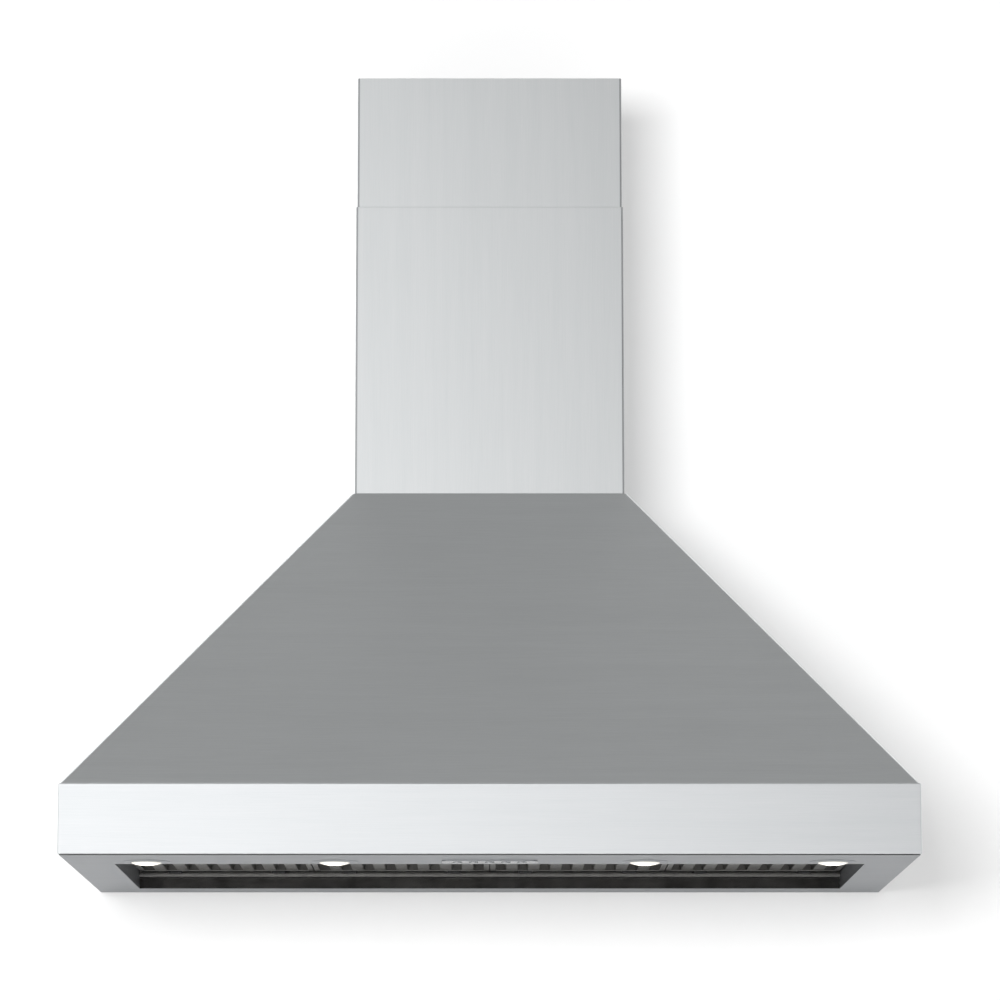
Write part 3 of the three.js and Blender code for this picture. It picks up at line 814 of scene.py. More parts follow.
@dataclass(frozen=True)
class PolishedSteel(Mottled):
    """Stainless steel, buffed bright: a clear mirror with a trace of haze and hairlines."""

    name: str = "buffed_stainless"
    light: str = "#E4E6E8"
    dark: str = "#CDD0D2"
    roughness: float = 0.14

    def inputs(self, tree: Tree) -> dict:
        """The steel's colour, haze and hairlines.

        Args:
            tree: The material's tree.

        Returns:
            The shader's inputs by name.
        """
        haze = noise(tree, [9 * MM] * 3)
        hairlines = noise(tree, [12 * MM, 0.5 * MM, 0.5 * MM], 2.0)
        return {
            "Base Color": self.mottle(tree, haze),
            "Metallic": 1.0,
            "Roughness": remap(tree, haze, self.roughness - 0.03, self.roughness + 0.06),
            "Normal": bump(tree, hairlines, 0.001 * MM),
        }


@dataclass(frozen=True)
class GalvanisedSteel(Mottled):
    """Hot-dip galvanised sheet: grey zinc that froze in crystals, each a little lighter or darker."""

    name: str = "galvanised_sheet"
    light: str = "#C3C8CA"
    dark: str = "#9CA2A5"
    crystal: float = 11 * MM

    def inputs(self, tree: Tree) -> dict:
        """The zinc's crystals and frost.

        Args:
            tree: The material's tree.

        Returns:
            The shader's inputs by name.
        """
        inputs = {"Vector": object_coordinates(tree), "Scale": 1 / self.crystal}
        crystals = add_node(tree, "ShaderNodeTexVoronoi", None, inputs)
        shade = add_node(tree, "ShaderNodeSeparateColor", None, {0: crystals.outputs["Color"]}).outputs[0]
        frost = noise(tree, [3 * MM] * 3)
        both = calculate(tree, "MULTIPLY_ADD", frost, 0.7, shade)
        return {
            "Base Color": self.mottle(tree, both, 0.2, 1.5),
            "Metallic": 0.85,
            "Roughness": remap(tree, shade, 0.38, 0.56, 0, 1),
            "Normal": bump(tree, frost, 0.01 * MM),
        }


@dataclass(frozen=True)
class Enamel(Mottled):
    """Stoved black enamel on steel: a deep satin black with orange peel and a thin clear top."""

    name: str = "stoved_enamel"
    light: str = "#2A2B2D"
    dark: str = "#1B1C1E"

    def inputs(self, tree: Tree) -> dict:
        """The enamel's dust and orange peel.

        Args:
            tree: The material's tree.

        Returns:
            The shader's inputs by name.
        """
        peel = noise(tree, [2.2 * MM] * 3, 1.0)
        dust = noise(tree, [35 * MM] * 3)
        return {
            "Base Color": self.mottle(tree, dust),
            "Roughness": remap(tree, dust, 0.34, 0.46),
            "Coat Weight": 0.25,
            "Coat Roughness": 0.2,
            "Normal": bump(tree, peel, 0.03 * MM),
        }


@dataclass(frozen=True)
class MouldedPlastic(Mottled):
    """Black ABS from a spark-eroded mould: an even fine grain that scatters the light."""

    name: str = "moulded_abs"
    light: str = "#292A2C"
    dark: str = "#1C1D1F"

    def inputs(self, tree: Tree) -> dict:
        """The plastic's flow marks and grain.

        Args:
            tree: The material's tree.

        Returns:
            The shader's inputs by name.
        """
        sparks = noise(tree, [0.9 * MM] * 3, 2.0)
        flow = noise(tree, [30 * MM] * 3)
        return {
            "Base Color": self.mottle(tree, flow),
            "Roughness": remap(tree, sparks, 0.5, 0.62),
            "IOR": 1.53,
            "Normal": bump(tree, sparks, 0.03 * MM),
        }


@dataclass(frozen=True)
class MagnetCoat(Mottled):
    """Nickel plate on a sintered magnet: dull, dark and a little blotched."""

    name: str = "nickel_plate"
    light: str = "#6F7376"
    dark: str = "#55585B"

    def inputs(self, tree: Tree) -> dict:
        """The nickel's blotches.

        Args:
            tree: The material's tree.

        Returns:
            The shader's inputs by name.
        """
        blotch = noise(tree, [4 * MM] * 3)
        return {
            "Base Color": self.mottle(tree, blotch),
            "Metallic": 1.0,
            "Roughness": remap(tree, blotch, 0.3, 0.5),
        }


@dataclass(frozen=True)
class FrostedLens(Finish):
    """Opal polycarbonate over a lit LED board: brightest over the board, milky towards the rim."""

    name: str = "opal_polycarbonate"
    colour: str = "#F6F5EE"
    glow: str = "#FFF8E6"
    strength: float = 7.0
    least: float = 0.25  # the glow's strength at the rim

    def inputs(self, tree: Tree) -> dict:
        """The lens's milk and the light that comes through it.

        Args:
            tree: The material's tree.

        Returns:
            The shader's inputs by name.
        """
        near = add_node(tree, "ShaderNodeAttribute", {"attribute_name": LENS_ATTRIBUTE}).outputs["Fac"]
        milk = noise(tree, [1.5 * MM] * 3, 1.0)
        return {
            "Base Color": linear(self.colour),
            "Roughness": remap(tree, milk, 0.24, 0.34),
            "IOR": 1.58,
            "Emission Color": linear(self.glow),
            "Emission Strength": remap(tree, near, self.least, self.strength, 0.0, 1.0),
            "Normal": bump(tree, milk, 0.004 * MM),
        }


def once(finish: Finish) -> Any:
    """A field that holds a finish's material, made with the object that it belongs to."""
    return field(default_factory=finish.make)


@dataclass
class Finishes:
    """Every finish on the hood, each made once.

    Attributes:
        canopy: The canopy, brushed level.
        skirt: The skirt band, brushed level.
        chimney: The chimney covers, brushed upright.
        fold: The covers' folds, darker and duller: painted shade that draws a dark line down each fold.
        underside: The ground face of the frame plate and the lamp rings, darker than the outer steel as
            painted shade.
        trim: The bezel and buttons of the control panel, ground finer.
        inside: The unground inner side and the cut edges of the frame's sheet, coloured dark as painted
            shade.
        filters: The baffle filters and their rails, coloured darker than the outer steel as painted shade.
        polished: Handles, screws, shaft and pin.
        galvanised: The sheet at the wall and over the crown, the collar with its flaps, and the blower.
        enamel: The motor and the lamps' cans.
        plastic: The electronics' lid, the switch housing and the filters' rubber feet.
        magnet: The magnets that hold the filters up.
        lens: The lamps' lenses.
    """

    canopy: Material = once(
        BrushedSteel("belt_ground_stainless_canopy", "#DDE0E1", "#D6D9DA", Grain.LEVEL)
    )
    skirt: Material = once(
        BrushedSteel("belt_ground_stainless_skirt", "#E6E8EA", "#E0E3E5", Grain.LEVEL)
    )
    chimney: Material = once(
        BrushedSteel("belt_ground_stainless_chimney", "#E7E9EA", "#E1E4E5", Grain.UPRIGHT)
    )
    # The folds' darker colour is painted shade for the dark line down each edge of the chimney.
    fold: Material = once(
        BrushedSteel("painted_shade_stainless_fold", "#AEB0B2", "#A2A4A6", Grain.UPRIGHT, 0.42)
    )
    # The skirt's belt-ground steel, coloured darker and with a dimmer grazing reflection: painted shade for
    # the hood's underside.
    underside: Material = once(
        BrushedSteel("belt_ground_stainless_underside_painted_shade", "#B4B7BB", "#AAADB1", Grain.ALONG_X, 0.32, 0.5)
    )
    trim: Material = once(
        BrushedSteel("satin_stainless_trim", "#C2C4C6", "#BCBEC0", Grain.ALONG_X, 0.24, 0.62)
    )
    # Painted shade for the turned-up and cut edges of the frame plate.
    inside: Material = once(MillFinishWithPaintedShade())
    # Darker than the outer steel: painted shade for the filters in the recess.
    filters: Material = once(
        BrushedSteel("satin_stainless_filters_painted_shade", "#A09F9D", "#8F8E8C", Grain.UPRIGHT, 0.3, 0.6)
    )
    polished: Material = once(PolishedSteel())
    galvanised: Material = once(GalvanisedSteel())
    enamel: Material = once(Enamel())
    plastic: Material = once(MouldedPlastic())
    magnet: Material = once(MagnetCoat())
    lens: Material = once(FrostedLens())


# ---------------------------------------------------------------- geometry nodes


@dataclass(frozen=True)
class NodeRecipe:
    """A Geometry Nodes tree and the identifiers of its named inputs."""

    tree: Tree
    inputs: dict[str, str]

    def run(self, piece: Piece, values: dict[str, object]) -> Piece:
        """Runs the tree on a piece and leaves a plain mesh.

        Args:
            piece: The piece whose mesh goes in.
            values: The named inputs' values.

        Returns:
            The piece.
        """
        modifier = piece.modifiers.new(self.tree.name, "NODES")
        modifier.node_group = self.tree
        for name, value in values.items():
            modifier[self.inputs[name]] = value
        return bake(piece)


def new_recipe_tree(name: str, inputs: dict[str, str]) -> tuple[Tree, dict[str, str], bpy.types.Node]:
    """Makes a Geometry Nodes tree with a geometry in and out and the named inputs.

    Args:
        name: The tree's name.
        inputs: The inputs' socket types, by name.

    Returns:
        The tree, the inputs' identifiers by name, and the Group Input node.
    """
    tree = bpy.data.node_groups.new(name, "GeometryNodeTree")
    tree.interface.new_socket(name="Geometry", in_out="INPUT", socket_type="NodeSocketGeometry")
    tree.interface.new_socket(name="Geometry", in_out="OUTPUT", socket_type="NodeSocketGeometry")
    identifiers = {}
    for label, kind in inputs.items():
        socket = tree.interface.new_socket(name=label, in_out="INPUT", socket_type=kind)
        identifiers[label] = socket.identifier
    return tree, identifiers, tree.nodes.new("NodeGroupInput")


def end_recipe(tree: Tree, geometry: Socket, material: Socket) -> None:
    """Ends a tree in Realize Instances and Set Material.

    Args:
        tree: The tree to end.
        geometry: What the tree has made.
        material: The finish that it is given.
    """
    real = add_node(tree, "GeometryNodeRealizeInstances", None, {"Geometry": geometry})
    inputs = {"Geometry": real.outputs[0], "Material": material}
    covered = add_node(tree, "GeometryNodeSetMaterial", None, inputs)
    add_node(tree, "NodeGroupOutput", None, {0: covered.outputs[0]})


def copies(tree: Tree, group: bpy.types.Node, step: Socket | Point) -> Socket:
    """As many instances of the mesh that comes in as Count says, each a step further on.

    Args:
        tree: The tree to add to.
        group: Its Group Input node.
        step: The way from one instance to the next.

    Returns:
        The instances.
    """
    inputs = {"Count": group.outputs["Count"], "Offset": step}
    line = add_node(tree, "GeometryNodeMeshLine", {"mode": "OFFSET"}, inputs)
    inputs = {"Points": line.outputs[0], "Instance": group.outputs["Geometry"]}
    return add_node(tree, "GeometryNodeInstanceOnPoints", None, inputs).outputs[0]


def row_recipe() -> NodeRecipe:
    """Repeats a mesh in a straight row: channels, rivets, screws.

    Returns:
        The tree and its inputs.
    """
    kinds = {"Count": "NodeSocketInt", "Step": "NodeSocketVector", "Material": "NodeSocketMaterial"}
    tree, inputs, group = new_recipe_tree("repeat_in_a_row", kinds)
    end_recipe(tree, copies(tree, group, group.outputs["Step"]), group.outputs["Material"])
    return NodeRecipe(tree, inputs)


def ring_recipe() -> NodeRecipe:
    """Repeats a mesh round an axis: blades, cooling fins, ribs.

    Returns:
        The tree and its inputs.
    """
    kinds = {
        "Count": "NodeSocketInt",
        "Turn": "NodeSocketVector",
        "Centre": "NodeSocketVector",
        "Material": "NodeSocketMaterial",
    }
    tree, inputs, group = new_recipe_tree("repeat_in_a_ring", kinds)
    placed = copies(tree, group, (0, 0, 0))
    index = add_node(tree, "GeometryNodeInputIndex").outputs[0]
    inputs_of_turn = {0: group.outputs["Turn"], "Scale": index}
    turn = add_node(tree, "ShaderNodeVectorMath", {"operation": "SCALE"}, inputs_of_turn).outputs[0]
    centre = group.outputs["Centre"]
    about = {"Instances": placed, "Rotation": turn, "Pivot Point": centre, "Local Space": False}
    turned = add_node(tree, "GeometryNodeRotateInstances", None, about)
    end_recipe(tree, turned.outputs[0], group.outputs["Material"])
    return NodeRecipe(tree, inputs)


def volute_recipe() -> NodeRecipe:
    """Makes a blower's spiral wrapper: the wall's distance from the wheel grows evenly round the turn.

    Point k of the line lies at share = k / (count - 1) of the turn from the tongue to the throat. The
    first and last points stand at the throat's top.

    Returns:
        The tree and its inputs.
    """
    kinds = {
        "Points": "NodeSocketInt",
        "Tongue": "NodeSocketFloat",
        "Near": "NodeSocketFloat",
        "Far": "NodeSocketFloat",
        "Top": "NodeSocketFloat",
        "Half Width": "NodeSocketFloat",
        "Sheet": "NodeSocketFloat",
        "Centre": "NodeSocketVector",
        "Material": "NodeSocketMaterial",
    }
    tree, inputs, group = new_recipe_tree("blower_volute", kinds)
    reckon = partial(calculate, tree)
    size = group.outputs
    index = add_node(tree, "GeometryNodeInputIndex").outputs[0]
    last = reckon("SUBTRACT", size["Points"], 1.0)
    share = reckon("DIVIDE", reckon("SUBTRACT", index, 1.0), reckon("SUBTRACT", last, 2.0))
    share = reckon("MINIMUM", reckon("MAXIMUM", share, 0.0), 1.0)
    rest = reckon("SUBTRACT", 2 * math.pi, size["Tongue"])
    angle = reckon("ADD", size["Tongue"], reckon("MULTIPLY", rest, share))
    grown = reckon("MULTIPLY", reckon("SUBTRACT", size["Far"], size["Near"]), share)
    radius = reckon("ADD", size["Near"], grown)
    across = reckon("MULTIPLY", radius, reckon("COSINE", angle))
    height = reckon("MULTIPLY", radius, reckon("SINE", angle))
    is_first = reckon("LESS_THAN", index, 0.5)
    is_last = reckon("GREATER_THAN", index, reckon("SUBTRACT", last, 0.5))
    heights = {0: reckon("ADD", is_first, is_last), 2: height, 3: size["Top"]}
    raised = add_node(tree, "ShaderNodeMix", {"data_type": "FLOAT"}, heights).outputs[0]
    half = reckon("MULTIPLY", size["Half Width"], -1.0)
    spot = add_node(tree, "ShaderNodeCombineXYZ", None, {0: half, 1: across, 2: raised}).outputs[0]
    moved = add_node(tree, "ShaderNodeVectorMath", {"operation": "ADD"}, {0: spot, 1: size["Centre"]})
    line = add_node(tree, "GeometryNodeMeshLine", {"mode": "OFFSET"}, {"Count": size["Points"]})
    laid = {"Geometry": line.outputs[0], "Position": moved.outputs[0]}
    spiral = add_node(tree, "GeometryNodeSetPosition", None, laid)
    width = reckon("MULTIPLY", size["Half Width"], 2.0)
    sideways = add_node(tree, "ShaderNodeCombineXYZ", None, {0: width}).outputs[0]
    sheet = add_node(
        tree, "GeometryNodeExtrudeMesh", {"mode": "EDGES"},
        {"Mesh": spiral.outputs[0], "Offset": sideways, "Offset Scale": 1.0},
    )
    skin = add_node(
        tree, "GeometryNodeExtrudeMesh", {"mode": "FACES"},
        {"Mesh": sheet.outputs[0], "Offset Scale": size["Sheet"], "Individual": False},
    )
    inner = add_node(tree, "GeometryNodeFlipFaces", None, {"Mesh": sheet.outputs[0]})
    both = tree.nodes.new("GeometryNodeJoinGeometry")
    tree.links.new(skin.outputs[0], both.inputs[0])
    tree.links.new(inner.outputs[0], both.inputs[0])
    seams = {"Geometry": both.outputs[0], "Distance": 0.01 * MM}
    closed = add_node(tree, "GeometryNodeMergeByDistance", None, seams)
    end_recipe(tree, closed.outputs[0], group.outputs["Material"])
    return NodeRecipe(tree, inputs)


@dataclass
class Recipes:
    """The Geometry Nodes trees, each built once."""

    row: NodeRecipe = field(default_factory=row_recipe)
    ring: NodeRecipe = field(default_factory=ring_recipe)
    volute: NodeRecipe = field(default_factory=volute_recipe)

    def in_row(self, piece: Piece, count: int, step: Point, material: Material) -> Piece:
        """Repeats a piece along a step."""
        return self.row.run(piece, {"Count": count, "Step": step, "Material": material})

    def in_ring(self, piece: Piece, count: int, axis: Point, centre: Point, material: Material) -> Piece:
        """Repeats a piece evenly round an axis."""
        turn = tuple(2 * math.pi / count * part for part in axis)
        return self.ring.run(piece, {"Count": count, "Turn": turn, "Centre": centre, "Material": material})


@dataclass(frozen=True)
class SocketScrew:
    """Button-head screw with a hexagon socket.

    Attributes:
        radius: The head's radius.
        height: The head's height.
        socket: Half of the socket's width across its flats, as a share of the radius.
        floor: The height of the socket's floor, as a share of the head's.
    """

    radius: float = 4.0 * MM
    height: float = 2.0 * MM
    socket: float = 0.42
    floor: float = 0.35

    def build(self, name: str, spot: Point, facing: Point) -> Piece:
        """Makes the head.

        Args:
            name: The piece's name.
            spot: The middle of the face under the head.
            facing: The way that the head looks.

        Returns:
            The object.
        """
        steps = 24
        socket = self.radius * self.socket
        sixth = math.pi / 3
        turn = Vector((0, 0, 1)).rotation_difference(Vector(facing)).to_matrix()
        rings = [(1.0, 0.0), (1.0, 0.25), (0.88, 0.72), (0.66, 1.0)]
        points = []
        for share, up in rings:
            points += [(x, y, self.height * up) for x, y in circle(0, 0, self.radius * share, steps)]
        for up in (1.0, self.floor):
            for k in range(steps):
                angle = 2 * math.pi * k / steps
                across = (angle + sixth / 2) % sixth - sixth / 2
                reach = socket / math.cos(across)
                points.append((reach * math.cos(angle), reach * math.sin(angle), self.height * up))
        rows = len(rings) + 2
        faces = [tuple(range(steps)), tuple(range((rows - 1) * steps, rows * steps))]
        for row in range(rows - 1):
            for k in range(steps):
                a, b = row * steps + k, row * steps + (k + 1) % steps
                faces.append((a, b, b + steps, a + steps))
        placed = [turn @ Vector(point) + Vector(spot) for point in points]
        return new_piece(name, placed, faces)


# ---------------------------------------------------------------- shared by the sub-assemblies


@dataclass
class Workshop:
    """What every sub-assembly works with: the finishes and the repeating trees."""

    finishes: Finishes
    recipes: Recipes
    screw: SocketScrew = SocketScrew()


# ---------------------------------------------------------------- canopy and skirt


@dataclass
class Canopy:
    """The pyramid of bent sheet between the skirt and the chimney.

    Attributes:
        shop: The finishes and trees.
        flange: How far the folded edges reach in, square to the slopes.
        corner: The radius of the two front corners.
        edge: The rounding of the folds.
        ledge_x: How far the crown reaches past the chimney on each side.
        ledge_y: How far it reaches past the chimney in front.
    """

    shop: Workshop
    flange: float = 14 * MM
    corner: float = 3.2 * MM
    edge: float = 0.55 * MM
    ledge_x: float = 3.4 * MM
    ledge_y: float = 3 * MM

    def __post_init__(self) -> None:
        """Works the slopes out from the node's box and the chimney's foot."""
        low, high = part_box("canopy_shell")
        foot_low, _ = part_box("chimney_lower_cover")
        self.base = Vector((high.x, low.y, low.z))
        self.crown = Vector((-foot_low.x + self.ledge_x, foot_low.y - self.ledge_y, high.z))
        rise = self.crown.z - self.base.z
        self.lean_x = (self.base.x - self.crown.x) / rise
        self.lean_y = (self.crown.y - self.base.y) / rise

    def row(self, z: float, inset: float) -> Row:
        """The line round the pyramid at a height, moved in square to its faces.

        Args:
            z: The height.
            inset: How far inside the outer faces it lies.

        Returns:
            The line.
        """
        up = z - self.base.z
        half = self.base.x - self.lean_x * up - inset * math.hypot(1, self.lean_x)
        front = self.base.y + self.lean_y * up + inset * math.hypot(1, self.lean_y)
        return Row(half, front, z, max(self.corner - inset, 0.0))

    def build_shell(self) -> Piece:
        """Makes the slopes with their folded top and bottom edges."""
        section = folded_section(self.base.z, self.crown.z, self.flange)
        return folded_shell("canopy_pyramid", [self.row(z, inset) for inset, z in section])

    def build_wall_flange(self, side: Side) -> Piece:
        """Makes the strip that is folded in along the wall on one side.

        Args:
            side: The side.

        Returns:
            The strip.
        """
        face = -SHEET - GAP
        points = []
        for y in (face - SHEET, face):
            for z in (self.base.z + SHEET, self.crown.z - SHEET):
                for inset in (SHEET, self.flange):
                    points.append((side.value * self.row(z, inset).half, y, z))
        faces = [(0, 1, 3, 2), (4, 5, 7, 6), (0, 1, 5, 4), (2, 3, 7, 6), (0, 2, 6, 4), (1, 3, 7, 5)]
        return new_piece("wall_flange", points, faces)

    def dress(self) -> None:
        """Builds the canopy and gives it its finish."""
        shell = join("canopy_pyramid", [self.build_shell(), *map(self.build_wall_flange, Side)])
        settle(soften(shell, self.edge), self.shop.finishes.canopy, HOOD, ["canopy_shell"])


@dataclass
class Skirt:
    """The straight band below the canopy, folded over at its top and bottom.

    Attributes:
        shop: The finishes and trees.
        flange: How far the folds reach in.
        bend: The outer radius of the folds.
        corner: The outer radius of the two front corners.
    """

    shop: Workshop
    flange: float = 14 * MM
    bend: float = 1.7 * MM
    corner: float = 2.4 * MM

    def dress(self) -> None:
        """Builds the band and gives it its finish."""
        low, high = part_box("skirt_band")
        section = folded_section(low.z, high.z, self.flange, self.bend)
        rows = [Row(high.x - d, low.y + d, z, max(self.corner - d, 0.0)) for d, z in section]
        band = soften(folded_shell("skirt_apron", rows), 0.3 * MM)
        settle(band, self.shop.finishes.skirt, HOOD, ["skirt_band"])


# ---------------------------------------------------------------- chimney


@dataclass
class Chimney:
    """The two telescoping covers, their wall bracket and the screws that hold the upper one.

    Attributes:
        shop: The finishes and trees.
        wall_return: How far the covers fold back along the wall.
        bend: The outer radius of the covers' folds.
        edge: The rounding of the sheet's cut edges.
    """

    shop: Workshop
    wall_return: float = 18 * MM
    bend: float = 3 * MM
    edge: float = 0.5 * MM

    def cover(self, node: str, name: str) -> Piece:
        """Makes one cover from its node's box.

        Args:
            node: The node that it stands for.
            name: The piece's name.

        Returns:
            The object.
        """
        low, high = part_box(node)
        lip = high.x - self.wall_return
        steps = 6

        def line(inset: float) -> list[Pair]:
            """The section's line this far inside the outer faces, from the left lip to the right one."""
            half, back, front = high.x - inset, high.y - inset, low.y + inset
            return [(-lip, back), (-half, back), (-half, front), (half, front), (half, back), (lip, back)]

        outer = fillet(line(0.0), self.bend, steps, closed=False)
        inner = fillet(line(SHEET)[::-1], self.bend - SHEET, steps, closed=False)
        outline = outer + inner
        return soften(prism(name, outline, low.z, high.z), self.edge)

    def is_fold(self, face: bpy.types.MeshPolygon) -> bool:
        """Whether a face of a cover lies in one of its front folds."""
        front, side = 0.05, 0.998  # what the normals of the flat faces beside a fold have along x
        return front < abs(face.normal.x) < side and face.center.y < -self.wall_return

    def build_screw(self, side: Side) -> Piece:
        """Makes the screw in one side of the upper cover.

        Args:
            side: The side.

        Returns:
            The screw's head.
        """
        name = side.name.lower()
        low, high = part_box(f"cover_screw_{name}")
        middle = (low + high) / 2
        outer = max(abs(low.x), abs(high.x))
        spot = (side.value * (outer - self.shop.screw.height), middle.y, middle.z)
        head = self.shop.screw.build(f"side_screw_{name}", spot, (side.value, 0, 0))
        return soften(head, SCREW_EDGE)

    def dress(self) -> None:
        """Builds the chimney and gives each piece its finish."""
        finishes = self.shop.finishes
        for place, body in (("lower", HOOD), ("upper", UPPER)):
            node = f"chimney_{place}_cover"
            cover = self.cover(node, f"{place}_cover")
            settle(cover, finishes.chimney, body, [node])
            # The front folds take a darker colour: painted shade.
            add_finish(cover, finishes.fold, self.is_fold)
        dress_node("chimney_bracket", "wall_bracket", 0.3 * MM, finishes.galvanised, UPPER)
        for side in Side:
            node = f"cover_screw_{side.name.lower()}"
            settle(self.build_screw(side), finishes.polished, UPPER, [node])


# ---------------------------------------------------------------- against the wall


@dataclass
class RearWall:
    """The rear panel with its hang brackets, the electronics tray and the junction box."""

    shop: Workshop

    def dress(self) -> None:
        """Rounds the pieces' edges and gives each its finish."""
        finishes = self.shop.finishes
        sheets = ("rear_panel", "hang_bracket_left", "hang_bracket_right", "electronics_tray", "junction_box")
        for node in sheets:
            dress_node(node, f"{node}_sheet", 0.25 * MM, finishes.galvanised)
        dress_node("electronics_cover", "electronics_lid", 0.8 * MM, finishes.plastic)
        self.dress_screws()

    def dress_screws(self) -> None:
        """Adds the screws that hold the lid and the junction box."""
        steel, screw = self.shop.finishes.polished, self.shop.screw
        forward = (0, -1, 0)
        low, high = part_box("electronics_cover")
        inset = 10 * MM
        rows = []
        for z in (low.z + inset, high.z - inset):
            head = screw.build("lid_screws", (low.x + inset, low.y, z), forward)
            step = (high.x - low.x - 2 * inset, 0, 0)
            rows.append(self.shop.recipes.in_row(head, 2, step, steel))
        settle(soften(join("lid_screws", rows), SCREW_EDGE), steel, HOOD)
        low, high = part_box("junction_box")
        x, y, inset = (low.x + high.x) / 2, high.y - SHEET, 4 * MM
        feet = [screw.build("box_screws", (x, y, z), forward) for z in (low.z + inset, high.z - inset)]
        settle(soften(join("box_screws", feet), SCREW_EDGE), steel, HOOD)


# ---------------------------------------------------------------- underside


@dataclass
class Underside:
    """The frame plate with the air opening, the two filter rails and the magnets."""

    shop: Workshop

    def dress(self) -> None:
        """Rounds the pieces' edges and gives each its finish."""
        finishes = self.shop.finishes
        plate = dress_node("bottom_frame", "frame_plate", 0.3 * MM, finishes.underside)
        # The plate's turned-up and cut edges take painted shade.
        add_finish(plate, finishes.inside, self.takes_painted_shade)
        for node in ("gutter_rail", "front_rail"):
            dress_node(node, f"{node}_sheet", 0.3 * MM, finishes.filters)
        for n in FILTER_NUMBERS:
            dress_node(f"magnet_catch_{n}", f"magnet_{n}", 0.8 * MM, finishes.magnet)

    def takes_painted_shade(self, face: bpy.types.MeshPolygon) -> bool:
        """Whether a face of the plate is a cut edge or a turned-up edge.

        The two side walls of the opening are separate strips, ground like the plate, and take no painted
        shade.

        Args:
            face: A face of the plate.

        Returns:
            Whether it takes the dark finish of painted shade.
        """
        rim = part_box("bottom_frame")[1].x - SHEET
        facing = 0.5  # a face looks along an axis where its normal has more than this on it
        side_wall = abs(face.normal.x) > facing and abs(face.center.x) < rim
        return abs(face.normal.z) < facing and not side_wall


